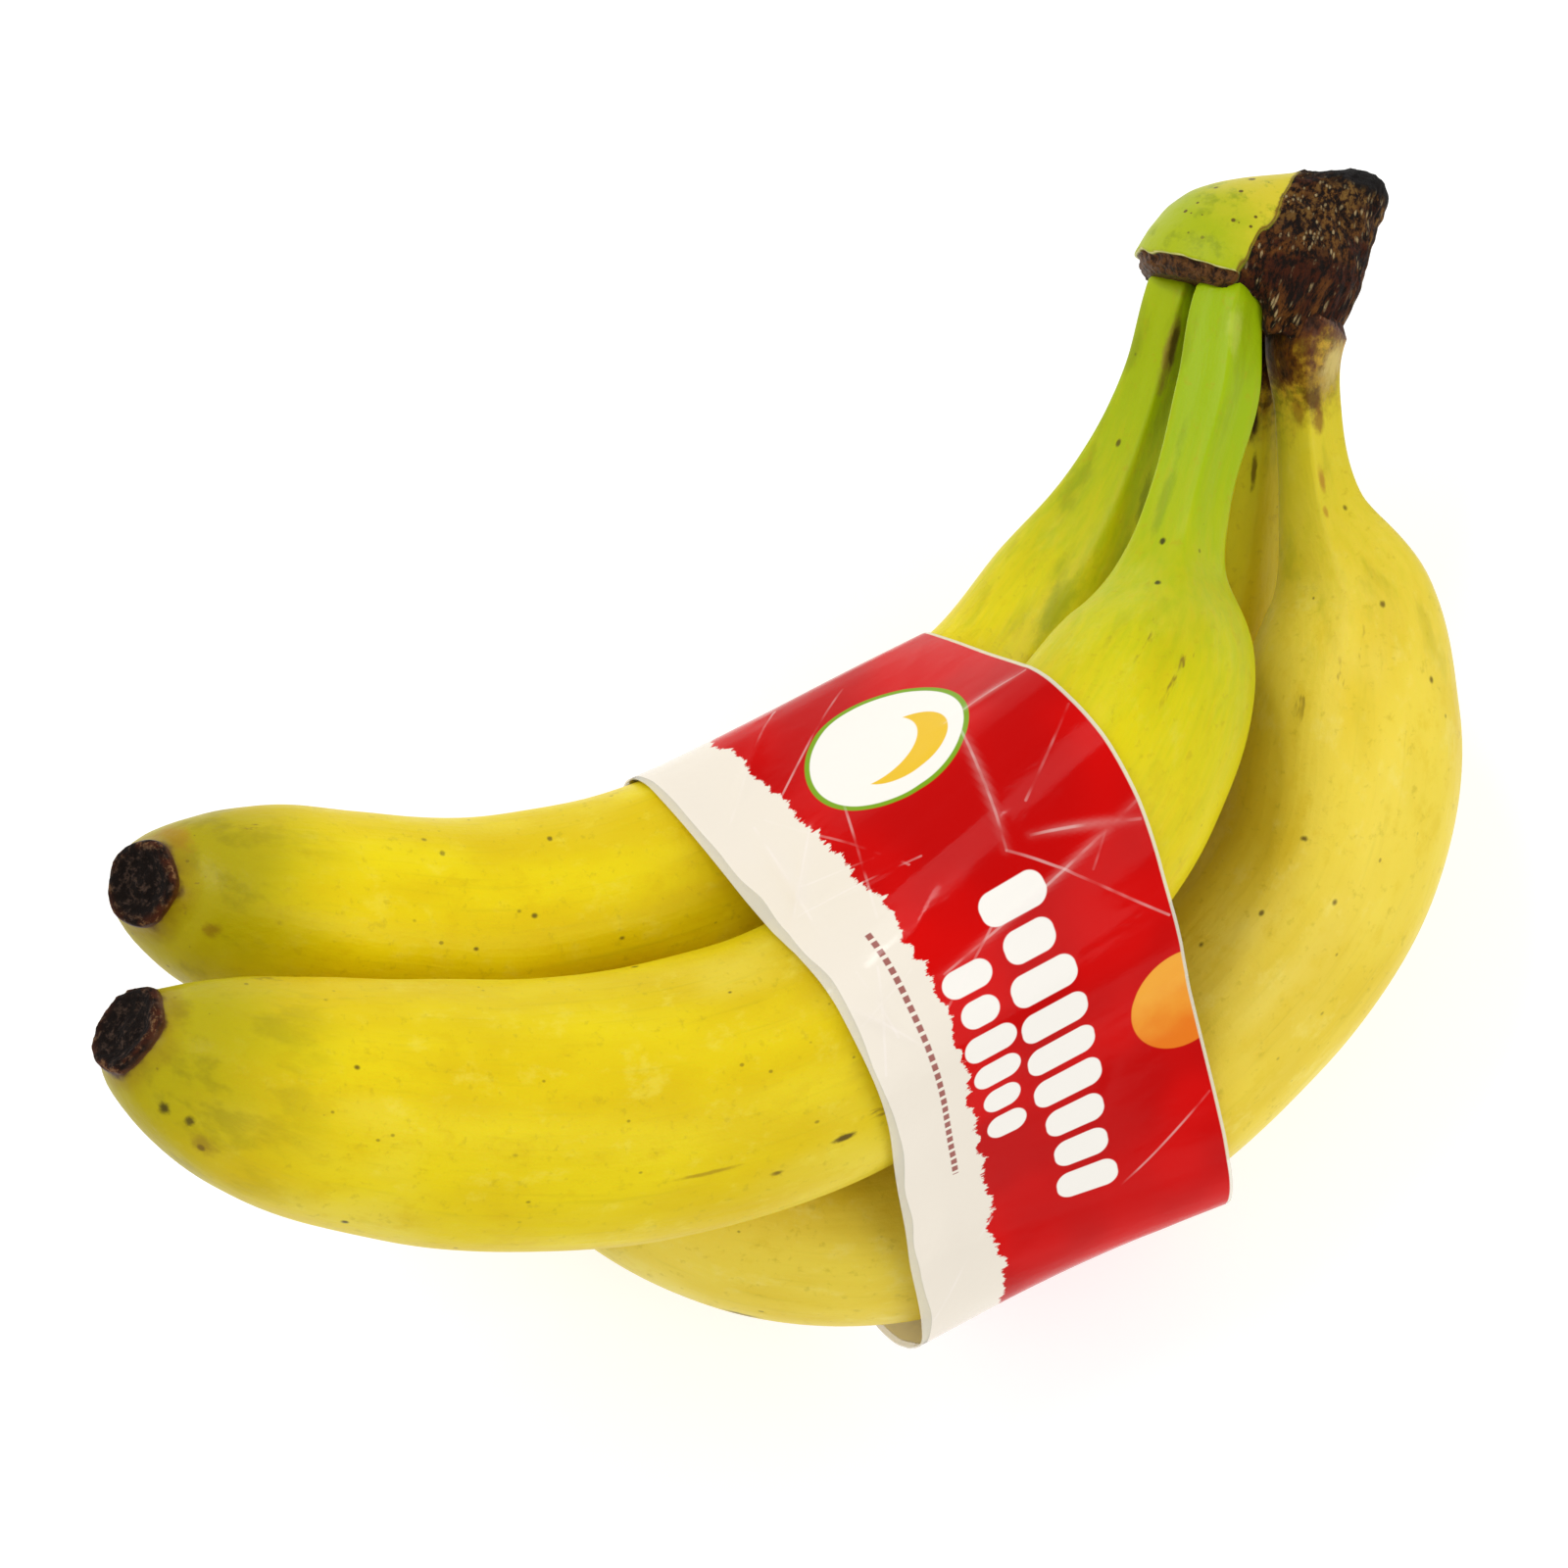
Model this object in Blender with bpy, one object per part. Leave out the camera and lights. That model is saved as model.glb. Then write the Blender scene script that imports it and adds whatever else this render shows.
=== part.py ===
"""A bunch of bananas: four fruits of one hand under their crown, held together by a film band.

The hand is laid out in its own plane (x across, y towards the crown, z out of the plane, in mm),
then leaned and dropped until it rests on the rear fruit and on the band under it, at z = 0.
"""
import math

import bpy
import bmesh
from mathutils import Matrix, Vector
from mathutils.geometry import convex_hull_2d

MM = 0.001

# The lean of the hand's plane when it lies on the table
LEAN = math.radians(10.0)
# How far the lowest line of the rear fruit is pressed flat on the table,
# and how far beyond the band's edges it is lifted by the film under it
FOOT_SQUASH = 1.6
FOOT_MARGIN = 6.0

# Clearance left where two pieces touch
TOUCH_GAP = 0.35

FRUIT_SIDES = 20
RING_SPACING = 5.5
TIP_RING_SPACING = 2.2
RIDGE_DEPTH = 0.022
RIDGE_COUNT = 5
NIB_DISH = 0.8

# The crown's underside, which the fruit stalks grow from, and the way the crown points
CROWN_FOOT = Vector((71.0, 73.0, 0.0))
CROWN_TILT = math.radians(17.7)
CROWN_SIDES = 32
# height above the underside, left, right, back, front (mm)
CROWN_RINGS = (
    (0.0, -16.8, 16.6, -17.0, 12.0),
    (1.2, -18.4, 16.9, -18.4, 13.2),
    (3.2, -18.9, 16.6, -19.0, 13.6),
    (6.8, -18.2, 15.8, -18.6, 13.0),
    (10.8, -16.6, 15.4, -17.2, 11.4),
    (14.4, -13.9, 15.2, -15.6, 9.4),
    (17.2, -10.0, 15.4, -14.0, 7.4),
    (20.2, -3.6, 15.6, -12.6, 5.6),
    (22.8, 2.6, 15.6, -11.0, 4.0),
    (24.6, 7.4, 14.4, -8.4, 1.4),
)
CROWN_SQUARENESS = 2.6

# Routes of the fruits from the crown to the tip: x, y, z and half thickness (mm)
FRUITS = {
    "banana_upper": (
        (61.0, 76.0, -3.0, 5.1),
        (58.0, 63.5, -5.5, 5.5),
        (53.0, 47.0, -9.0, 8.2),
        (45.5, 30.0, -12.5, 13.3),
        (34.0, 11.5, -13.5, 16.5),
        (15.0, -2.0, -10.5, 17.4),
        (-4.0, -11.0, -4.0, 17.6),
        (-24.0, -18.5, 1.0, 17.5),
        (-47.5, -22.5, 8.5, 17.3),
        (-66.5, -20.5, 17.0, 16.7),
        (-81.0, -17.5, 25.5, 14.8),
        (-87.0, -16.0, 30.0, 12.2),
        (-90.5, -15.0, 33.5, 9.3),
        (-92.5, -14.5, 36.5, 6.3),
    ),
    "banana_front": (
        (67.5, 74.0, 6.0, 5.1),
        (65.2, 59.5, 8.0, 6.1),
        (60.8, 42.5, 10.5, 6.0),
        (58.4, 32.5, 12.0, 7.9),
        (56.4, 21.0, 14.8, 14.2),
        (47.3, 2.0, 19.0, 18.8),
        (29.0, -20.5, 20.5, 19.3),
        (8.0, -38.0, 22.5, 19.9),
        (-14.5, -46.0, 27.0, 20.1),
        (-36.0, -48.5, 33.0, 19.9),
        (-56.5, -47.0, 40.5, 18.8),
        (-74.0, -43.3, 49.0, 16.2),
        (-82.5, -39.8, 54.0, 13.3),
        (-88.0, -36.8, 58.0, 9.8),
        (-91.0, -34.6, 61.0, 6.6),
    ),
    "banana_rear": (
        (74.0, 72.5, -10.0, 5.1),
        (74.0, 61.0, -13.0, 5.5),
        (73.5, 48.0, -20.0, 6.8),
        (71.0, 33.5, -27.5, 9.8),
        (65.5, 17.0, -34.5, 13.7),
        (57.0, -5.0, -35.3, 15.4),
        (37.5, -22.0, -29.5, 15.6),
        (13.0, -34.0, -28.0, 15.6),
        (-12.5, -37.5, -28.2, 15.4),
        (-34.0, -34.0, -30.8, 14.8),
        (-46.5, -29.0, -29.5, 11.4),
        (-53.0, -26.0, -27.0, 6.0),
    ),
    "banana_outer": (
        (80.0, 70.0, 0.0, 5.4),
        (80.5, 57.0, -3.0, 5.0),
        (82.7, 43.5, -6.0, 6.4),
        (87.6, 29.0, -8.0, 12.7),
        (87.5, 12.0, -8.5, 17.2),
        (83.5, -12.0, -9.0, 17.9),
        (65.5, -36.5, -8.0, 17.9),
        (42.5, -54.5, -8.0, 17.7),
        (15.0, -66.0, -8.0, 17.4),
        (-9.0, -64.0, -8.0, 16.4),
        (-27.0, -56.5, -6.0, 13.6),
        (-37.0, -49.5, -3.0, 10.3),
        (-42.0, -45.0, -1.0, 6.0),
    ),
}

# The film band round the middle of the fruits
BAND_CENTRE = Vector((22.5, -31.0, -2.0))
BAND_TURN = math.radians(207.5)
BAND_TILT = math.radians(16.0)
BAND_WIDTH = 52.0
BAND_WALL = 0.4
BAND_CLEARANCE = 0.45
BAND_SEGMENTS = 80
BAND_STATIONS = 9

FRUIT_COLOURS = {
    "banana_upper": (0.74, 0.62, 0.02),
    "banana_front": (0.78, 0.64, 0.03),
    "banana_rear": (0.55, 0.48, 0.02),
    "banana_outer": (0.76, 0.62, 0.06),
}
CROWN_COLOUR = (0.33, 0.36, 0.04)
BAND_COLOUR = (0.62, 0.01, 0.01)


def clearScene():
    for old in list(bpy.data.objects):
        bpy.data.objects.remove(old, do_unlink=True)


def makeMaterial(name, colour, roughness):
    material = bpy.data.materials.new(name)
    material.use_nodes = True
    shader = material.node_tree.nodes["Principled BSDF"]
    shader.inputs["Base Color"].default_value = (*colour, 1.0)
    shader.inputs["Roughness"].default_value = roughness
    shader.inputs["Metallic"].default_value = 0.0
    material.diffuse_color = (*colour, 1.0)
    return material


def loftObject(name, rings, material, closedLoop=False):
    """Skin a list of rings, each a list of points in mm; the ends are capped unless it is a loop."""
    mesh = bmesh.new()
    loops = [[mesh.verts.new(point * MM) for point in ring] for ring in rings]
    pairs = list(zip(loops, loops[1:]))
    if closedLoop:
        pairs.append((loops[-1], loops[0]))
    for near, far in pairs:
        for i in range(len(near)):
            j = (i + 1) % len(near)
            mesh.faces.new((near[i], near[j], far[j], far[i]))
    if not closedLoop:
        mesh.faces.new(reversed(loops[0]))
        mesh.faces.new(loops[-1])
    bmesh.ops.recalc_face_normals(mesh, faces=mesh.faces)
    for face in mesh.faces:
        face.smooth = len(face.verts) == 4
    data = bpy.data.meshes.new(name)
    mesh.to_mesh(data)
    mesh.free()
    data.materials.append(material)
    item = bpy.data.objects.new(name, data)
    bpy.context.scene.collection.objects.link(item)
    return item


def crownAxes():
    """The crown's directions in the hand's plane: along its underside, and up out of it."""
    along = Vector((math.cos(CROWN_TILT), -math.sin(CROWN_TILT), 0.0))
    up = Vector((math.sin(CROWN_TILT), math.cos(CROWN_TILT), 0.0))
    return along, up


def smoothRoute(points, startDirection):
    """Points along a smooth curve through the route, closer together where the fruit ends."""
    rows = [Vector(point) for point in points]
    spans = [(b - a).to_3d().length for a, b in zip(rows, rows[1:])]
    slopes = []
    for i in range(len(rows)):
        if i == 0:
            slope = (rows[1] - rows[0]) / spans[0]
            slope.xyz = startDirection
        elif i == len(rows) - 1:
            slope = (rows[i] - rows[i - 1]) / spans[-1]
        else:
            before = (rows[i] - rows[i - 1]) / spans[i - 1]
            after = (rows[i + 1] - rows[i]) / spans[i]
            slope = (before * spans[i] + after * spans[i - 1]) / (spans[i] + spans[i - 1])
        slopes.append(slope)
    samples = []
    for i, span in enumerate(spans):
        spacing = TIP_RING_SPACING if span < 3.0 * TIP_RING_SPACING + 2.0 else RING_SPACING
        steps = max(2, round(span / spacing))
        for k in range(steps):
            t = k / steps
            samples.append(
                (2 * t**3 - 3 * t**2 + 1) * rows[i]
                + (t**3 - 2 * t**2 + t) * span * slopes[i]
                + (-2 * t**3 + 3 * t**2) * rows[i + 1]
                + (t**3 - t**2) * span * slopes[i + 1]
            )
    samples.append(rows[-1])
    return samples


def fruitRings(points):
    """Rounded five-sided sections carried along the fruit without twisting."""
    along, up = crownAxes()
    rows = [list(point) for point in points]
    start = Vector(rows[0][:3])
    start -= up * ((start - CROWN_FOOT).dot(up) + TOUCH_GAP)
    rows[0][:3] = start
    samples = smoothRoute(rows, -up)
    centres = [sample.to_3d() for sample in samples]
    radii = [sample.w for sample in samples]
    side = Vector((0.0, 0.0, 1.0))
    rings = []
    for i, centre in enumerate(centres):
        if i == 0:
            tangent = -up
        else:
            ahead = centres[min(i + 1, len(centres) - 1)]
            tangent = (ahead - centres[i - 1]).normalized()
        side = (side - tangent * side.dot(tangent)).normalized()
        other = tangent.cross(side)
        ridge = RIDGE_DEPTH * min(1.0, max(0.0, (radii[i] - 6.0) / 8.0))
        ring = []
        for k in range(FRUIT_SIDES):
            angle = 2.0 * math.pi * k / FRUIT_SIDES
            radius = radii[i] * (1.0 + ridge * math.cos(RIDGE_COUNT * angle))
            ring.append(centre + radius * (math.cos(angle) * side + math.sin(angle) * other))
        rings.append(ring)
    # the blossom end closes with a shallow dish
    rim = rings[-1]
    middle = sum(rim, Vector()) / FRUIT_SIDES
    inward = (centres[-2] - centres[-1]).normalized()
    rings.append([middle + (point - middle) * 0.6 + inward * NIB_DISH for point in rim])
    return rings


def crownRings():
    along, up = crownAxes()
    rings = []
    for height, left, right, back, front in CROWN_RINGS:
        middle = CROWN_FOOT + up * height + along * (left + right) / 2.0
        middle.z += (back + front) / 2.0
        halfLength = (right - left) / 2.0
        halfDepth = (front - back) / 2.0
        ring = []
        for k in range(CROWN_SIDES):
            angle = 2.0 * math.pi * k / CROWN_SIDES
            c = math.cos(angle)
            s = math.sin(angle)
            x = math.copysign(abs(c) ** (2.0 / CROWN_SQUARENESS), c)
            z = math.copysign(abs(s) ** (2.0 / CROWN_SQUARENESS), s)
            ring.append(middle + along * halfLength * x + Vector((0.0, 0.0, halfDepth * z)))
        rings.append(ring)
    return rings


def leaned(rings):
    """Turn rings from the hand's plane to the world's upright axes."""
    turn = Matrix.Rotation(LEAN, 3, "X")
    return [[turn @ point for point in ring] for ring in rings]


def bandFrame():
    """The band's centre and its directions: along the fruits, across them, and out of the hand."""
    turn = Matrix.Rotation(LEAN, 3, "X")
    flat = Vector((math.cos(BAND_TURN), math.sin(BAND_TURN), 0.0))
    axis = flat * math.cos(BAND_TILT) + Vector((0.0, 0.0, math.sin(BAND_TILT)))
    across = Vector((-math.sin(BAND_TURN), math.cos(BAND_TURN), 0.0))
    out = axis.cross(across)
    return turn @ BAND_CENTRE, turn @ axis, turn @ across, turn @ out


def sectionPoints(fruits, origin, axis, across, out, station):
    """Where the plane at one station along the band cuts the fruits, as flat points."""
    found = []
    for rings in fruits:
        for near, far in zip(rings, rings[1:]):
            for a, b in zip(near, far):
                da = (a - origin).dot(axis) - station
                db = (b - origin).dot(axis) - station
                if da * db < 0.0:
                    point = a.lerp(b, da / (da - db)) - origin
                    found.append(Vector((point.dot(across), point.dot(out))))
    return found


def hullReach(points, angle):
    """How far the hull of the points reaches from the middle in one direction."""
    order = [points[i] for i in convex_hull_2d(points)]
    ray = Vector((math.cos(angle), math.sin(angle)))
    for a, b in zip(order, order[1:] + order[:1]):
        edge = b - a
        cross = ray.x * edge.y - ray.y * edge.x
        if abs(cross) < 1e-9:
            continue
        reach = (a.x * edge.y - a.y * edge.x) / cross
        along = (a.x * ray.y - a.y * ray.x) / cross
        if reach > 0.0 and -1e-6 <= along <= 1.0 + 1e-6:
            return reach
    raise ValueError("the band's middle lies outside the fruits")


def bandRings(fruits):
    """A taut ring of film: straight along the fruits, and round them like a stretched skin."""
    origin, axis, across, out = bandFrame()
    stations = [BAND_WIDTH * (i / (BAND_STATIONS - 1) - 0.5) for i in range(BAND_STATIONS)]
    sections = [sectionPoints(fruits, origin, axis, across, out, s) for s in stations]
    rings = []
    for k in range(BAND_SEGMENTS):
        angle = 2.0 * math.pi * k / BAND_SEGMENTS
        reaches = [hullReach(section, angle) for section in sections]
        slope = (reaches[-1] - reaches[0]) / BAND_WIDTH
        excess = max(
            reach - reaches[0] - slope * (s - stations[0]) for reach, s in zip(reaches, stations)
        )
        ray = across * math.cos(angle) + out * math.sin(angle)
        inner = [
            reaches[0] + slope * (s - stations[0]) + excess + BAND_CLEARANCE for s in stations
        ]
        skin = [origin + axis * s + ray * r for s, r in zip(stations, inner)]
        cover = [origin + axis * s + ray * (r + BAND_WALL) for s, r in zip(stations, inner)]
        rings.append(skin + cover[::-1])
    return rings


def pressFlat(points, level):
    """Anything below the level lies flat on it."""
    for point in points:
        point.z = max(point.z, level)


def pressOnTable(rear, band, table):
    """The rear fruit and the film under it are pressed flat, with the film between fruit and table."""
    origin, axis, _, _ = bandFrame()
    reach = BAND_WIDTH / 2.0 + FOOT_MARGIN
    for ring in rear:
        inside = [point for point in ring if abs((point - origin).dot(axis)) < reach]
        pressFlat(inside, table + BAND_WALL + TOUCH_GAP)
        pressFlat(ring, table)
    for ring in band:
        pressFlat(ring[:BAND_STATIONS], table + BAND_WALL)
        pressFlat(ring[BAND_STATIONS:], table)


def lowest(rings):
    return min(point.z for ring in rings for point in ring)


def footprintMiddle(lofts):
    points = [point for rings in lofts for ring in rings for point in ring]
    xs = [point.x for point in points]
    ys = [point.y for point in points]
    return Vector(((min(xs) + max(xs)) / 2.0, (min(ys) + max(ys)) / 2.0, 0.0))


def main():
    clearScene()
    fruits = {name: leaned(fruitRings(points)) for name, points in FRUITS.items()}
    band = bandRings(list(fruits.values()))
    crown = leaned(crownRings())
    table = lowest(fruits["banana_rear"]) + FOOT_SQUASH
    pressOnTable(fruits["banana_rear"], band, table)
    pieces = {}
    for name, rings in fruits.items():
        pieces[name] = (rings, name + "_skin", FRUIT_COLOURS[name], 0.45)
    pieces["crown"] = (crown, "crown_rind", CROWN_COLOUR, 0.7)
    pieces["film_band"] = (band, "band_film", BAND_COLOUR, 0.25)
    middle = footprintMiddle([rings for rings, _, _, _ in pieces.values()])
    middle.z = table
    for name, (rings, materialName, colour, roughness) in pieces.items():
        placed = [[point - middle for point in ring] for ring in rings]
        loftObject(name, placed, makeMaterial(materialName, colour, roughness), name == "film_band")


main()
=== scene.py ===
# A bunch of bananas with a printed film band, lying on its side on a pale table.
import math
from functools import partial

import bpy
import numpy as np
from mathutils import Matrix, Vector, noise
from mathutils.geometry import convex_hull_2d


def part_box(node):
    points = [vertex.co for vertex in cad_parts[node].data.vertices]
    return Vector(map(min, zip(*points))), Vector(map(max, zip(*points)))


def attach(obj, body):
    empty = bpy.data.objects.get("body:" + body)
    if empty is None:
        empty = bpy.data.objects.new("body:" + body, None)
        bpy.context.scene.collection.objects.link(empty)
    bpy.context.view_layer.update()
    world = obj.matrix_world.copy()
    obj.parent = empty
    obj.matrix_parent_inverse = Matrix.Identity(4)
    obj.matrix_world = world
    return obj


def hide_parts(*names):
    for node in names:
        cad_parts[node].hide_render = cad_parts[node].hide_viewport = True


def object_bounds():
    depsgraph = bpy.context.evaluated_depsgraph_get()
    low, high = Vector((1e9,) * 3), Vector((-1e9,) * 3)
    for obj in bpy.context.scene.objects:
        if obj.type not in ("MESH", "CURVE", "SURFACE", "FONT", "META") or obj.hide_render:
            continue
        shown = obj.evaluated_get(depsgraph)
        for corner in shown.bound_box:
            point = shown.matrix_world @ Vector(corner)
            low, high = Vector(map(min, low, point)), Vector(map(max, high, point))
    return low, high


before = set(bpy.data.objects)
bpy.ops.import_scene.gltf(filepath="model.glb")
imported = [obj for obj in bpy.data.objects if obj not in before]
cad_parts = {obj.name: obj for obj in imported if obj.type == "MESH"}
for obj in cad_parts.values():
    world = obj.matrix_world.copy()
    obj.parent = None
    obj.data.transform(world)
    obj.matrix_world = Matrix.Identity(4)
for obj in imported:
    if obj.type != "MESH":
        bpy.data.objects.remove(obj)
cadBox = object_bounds()

# how the hand lies: its own plane is leaned by this much about X
hand = {
    "lean": math.radians(10.0),
    "roundSteps": 96,       # points round a fruit
    "ringSpacing": 1.15,    # mm between rings along a fruit
    "filmUnder": 0.4,       # mm that the lowest fruit stands off the table, on the film under it
}
leanTurn = np.array(Matrix.Rotation(hand["lean"], 3, "X"))


def unit(v):
    return v / np.linalg.norm(v)


def smooth(low, high, x):
    t = np.clip((x - low) / (high - low), 0.0, 1.0)
    return t * t * (3.0 - 2.0 * t)


def bumpNoise(points, size, seed=0.0):
    # soft noise from -1 to 1 with lumps of the given size, one value per point
    flat = np.asarray(points).reshape(-1, 3) / size + seed
    values = np.array([noise.noise(Vector(p)) for p in flat])
    return values.reshape(np.asarray(points).shape[:-1])


# the crown, where the stalks join, in the hand's plane (mm)
crown = {
    "foot": np.array([71.0, 73.0, 0.0]),
    "tilt": math.radians(17.7),
    # height above the underside, left, right, back, front
    "rings": [
        (0.0, -16.8, 16.6, -17.0, 12.0),
        (1.2, -18.4, 16.9, -18.4, 13.2),
        (3.2, -18.9, 16.6, -19.0, 13.6),
        (6.8, -18.2, 15.8, -18.6, 13.0),
        (10.8, -16.6, 15.4, -17.2, 11.4),
        (14.4, -13.9, 15.2, -15.6, 9.4),
        (17.2, -10.0, 15.4, -14.0, 7.4),
        (20.2, -3.6, 15.6, -12.6, 5.6),
        (22.8, 2.6, 15.6, -11.0, 4.0),
        (24.6, 7.4, 14.4, -8.4, 1.4),
    ],
    "squareness": 2.6,
    "steps": 160,
    "lipHeight": 2.7,       # the brown cut rim under the green pad
    "lipDepth": 1.1,
    "fibre": 0.5,           # relief of the dried side
    "tuck": 3.2,            # how far its underside draws in
    "sag": 4.0,             # how far it hangs over the stalks behind
    "sagRagged": 2.4,
    "middle": np.array([0.0, 9.0, -2.5]),
}
crownAlong = np.array([math.cos(crown["tilt"]), -math.sin(crown["tilt"]), 0.0])
crownUp = np.array([math.sin(crown["tilt"]), math.cos(crown["tilt"]), 0.0])
outOfHand = np.array([0.0, 0.0, 1.0])

# the fruits: x, y, z and half thickness along each one, from the crown to the tip (mm), and the marks on
# the peel: mm along it, degrees round it, half length, half width, colour and strength
fruits = {
    "banana_upper": {
        "route": [
            (61.0, 76.0, -3.0, 5.1), (58.0, 63.5, -5.5, 5.5), (53.0, 47.0, -9.0, 8.2),
            (45.5, 30.0, -12.5, 13.3), (34.0, 11.5, -13.5, 16.5), (15.0, -2.0, -10.5, 17.4),
            (-4.0, -11.0, -4.0, 17.6), (-24.0, -18.5, 1.0, 17.5), (-47.5, -22.5, 8.5, 17.3),
            (-66.5, -20.5, 17.0, 16.7), (-81.0, -17.5, 25.5, 14.8), (-87.0, -16.0, 30.0, 12.2),
            (-90.5, -15.0, 33.5, 9.3), (-92.5, -14.5, 36.5, 6.3),
        ],
        "ridges": [1.0, 0.7, 0.9, 0.5, 0.8],
        "flare": 0.12,
        "seed": 3.1,
        "marks": [
            (211.5, -34, 2.6, 1.2, "#7A5210", 0.6), (216.5, 68, 1.8, 4.0, "#A8701E", 0.5),
            (9.5, -4, 7.0, 0.9, "#8C7030", 0.85), (8.0, -8, 4.0, 0.6, "#4A3A14", 0.8),
            (32.0, -24, 13.0, 0.9, "#6E7A0A", 0.6), (52.0, 10, 9.0, 2.0, "#8C9A0A", 0.5),
            (152.0, 44, 0.5, 0.5, "#5A4A10", 0.8), (174.0, 37, 0.5, 0.5, "#5A4A10", 0.6),
        ],
    },
    "banana_front": {
        "route": [
            (67.5, 74.0, 6.0, 5.1), (65.2, 59.5, 8.0, 6.1), (60.8, 42.5, 10.5, 6.0), (58.4, 32.5, 12.0, 7.9),
            (56.4, 21.0, 14.8, 14.2), (47.3, 2.0, 19.0, 18.8), (29.0, -20.5, 20.5, 19.3),
            (8.0, -38.0, 22.5, 19.9), (-14.5, -46.0, 27.0, 20.1), (-36.0, -48.5, 33.0, 19.9),
            (-56.5, -47.0, 40.5, 18.8), (-74.0, -43.3, 49.0, 16.2), (-82.5, -39.8, 54.0, 13.3),
            (-88.0, -36.8, 58.0, 9.8), (-91.0, -34.6, 61.0, 6.6),
        ],
        "ridges": [0.9, 1.0, 0.7, 0.6, 1.0],
        "flare": 0.12,
        "seed": 7.7,
        "marks": [
            (140.0, -45, 1.6, 0.5, "#4A3410", 0.9), (238.2, -62, 1.3, 0.9, "#2A1C0A", 0.85),
            (234.6, -56, 0.9, 0.8, "#3A280E", 0.8), (231.0, -64, 2.2, 1.7, "#8A6A1A", 0.6),
            (209.4, -75, 0.6, 0.6, "#33240C", 0.9), (5.8, -15, 4.2, 1.2, "#BCC850", 0.5),
            (48.6, 15, 0.5, 0.5, "#2E2A08", 0.9), (40.5, 23, 0.6, 0.5, "#2E2A08", 0.9),
            (159.6, -41, 4.5, 0.35, "#A8860E", 0.7), (34.0, 40, 12.0, 1.0, "#7E9606", 0.55),
            (150.0, -50, 1.0, 0.4, "#6A4E12", 0.8),
        ],
    },
    "banana_rear": {
        "route": [
            (74.0, 72.5, -10.0, 5.1), (74.0, 61.0, -13.0, 5.5), (73.5, 48.0, -20.0, 6.8),
            (71.0, 33.5, -27.5, 9.8), (65.5, 17.0, -34.5, 13.7), (57.0, -5.0, -35.3, 15.4),
            (37.5, -22.0, -29.5, 15.6), (13.0, -34.0, -28.0, 15.6), (-12.5, -37.5, -28.2, 15.4),
            (-34.0, -34.0, -30.8, 14.8), (-46.5, -29.0, -29.5, 11.4), (-53.0, -26.0, -27.0, 6.0),
        ],
        "ridges": [0.6, 0.9, 0.8, 1.0, 0.7],
        "flare": 0.7,
        "seed": 12.4,
        "marks": [
            (13.9, 11, 2.8, 0.8, "#3A1E10", 0.95), (22.0, 5, 5.5, 0.4, "#5A3A12", 0.8),
            (195.0, 40, 2.0, 1.0, "#6A4E12", 0.7),
        ],
    },
    "banana_outer": {
        "route": [
            (80.0, 70.0, 0.0, 5.4), (80.5, 57.0, -3.0, 5.0), (82.7, 43.5, -6.0, 6.4),
            (87.6, 29.0, -8.0, 12.7), (87.5, 12.0, -8.5, 17.2), (83.5, -12.0, -9.0, 17.9),
            (65.5, -36.5, -8.0, 17.9), (42.5, -54.5, -8.0, 17.7), (15.0, -66.0, -8.0, 17.4),
            (-9.0, -64.0, -8.0, 16.4), (-27.0, -56.5, -6.0, 13.6), (-37.0, -49.5, -3.0, 10.3),
            (-42.0, -45.0, -1.0, 6.0),
        ],
        "ridges": [0.8, 0.6, 1.0, 0.9, 0.7],
        "flare": 0.8,
        "seed": 21.9,
        "marks": [
            (193.3, -80, 2.4, 0.8, "#3A2610", 0.9), (10.0, -6, 3.4, 1.4, "#4A1C0A", 0.85),
            (13.5, -14, 2.4, 1.0, "#7A4214", 0.7), (12.0, 20, 2.5, 1.3, "#7A4214", 0.6),
            (5.5, -44, 5.0, 2.3, "#7A4A16", 0.8), (5.5, -44, 4.4, 2.0, "#CDB866", 0.9),
            (23.0, -6, 2.4, 0.5, "#A86E22", 0.7), (28.0, -2, 1.5, 0.4, "#A86E22", 0.6),
            (44.0, -19, 0.6, 0.5, "#5A4216", 0.8), (82.2, 15, 0.6, 0.6, "#4A3612", 0.85),
            (108.0, 30, 0.6, 0.5, "#4A3612", 0.85), (125.0, -12, 4.0, 0.4, "#A07C1E", 0.6),
        ],
    },
}
fruitShape = {
    "ridgeBelly": 0.020,    # how far the five ridges stand out, as a share of the half thickness
    "ridgeStalk": 0.115,
    "ridgeTip": 0.035,
    "crispStalk": 0.85,     # how sharp the ridges are, from a wave to a peak
    "crispTip": 0.5,
    "stalkFades": (25.0, 62.0),     # mm from the crown over which the stalk's ridges fade
    "tipGrows": (42.0, 10.0),       # mm from the tip over which the tip's ridges grow
    "dent": 0.30,           # mm of slow unevenness
    "intoCrown": 3.0,       # mm that the stalk carries on inside the crown
    "flareReach": 7.0,      # mm over which the stalk widens into the crown
    # the black blossom end: share of its rim, and how far it stands out (mm)
    "nib": [(1.02, 0.5), (1.0, 1.1), (0.94, 1.6), (0.84, 1.75), (0.72, 1.4), (0.58, 0.9),
            (0.42, 0.65), (0.27, 0.95), (0.14, 1.15), (0.05, 1.2)],
    "nibRough": 0.28,
    "nibStep": 0.8,         # mm of peel pattern between the nib's rings
}


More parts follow.
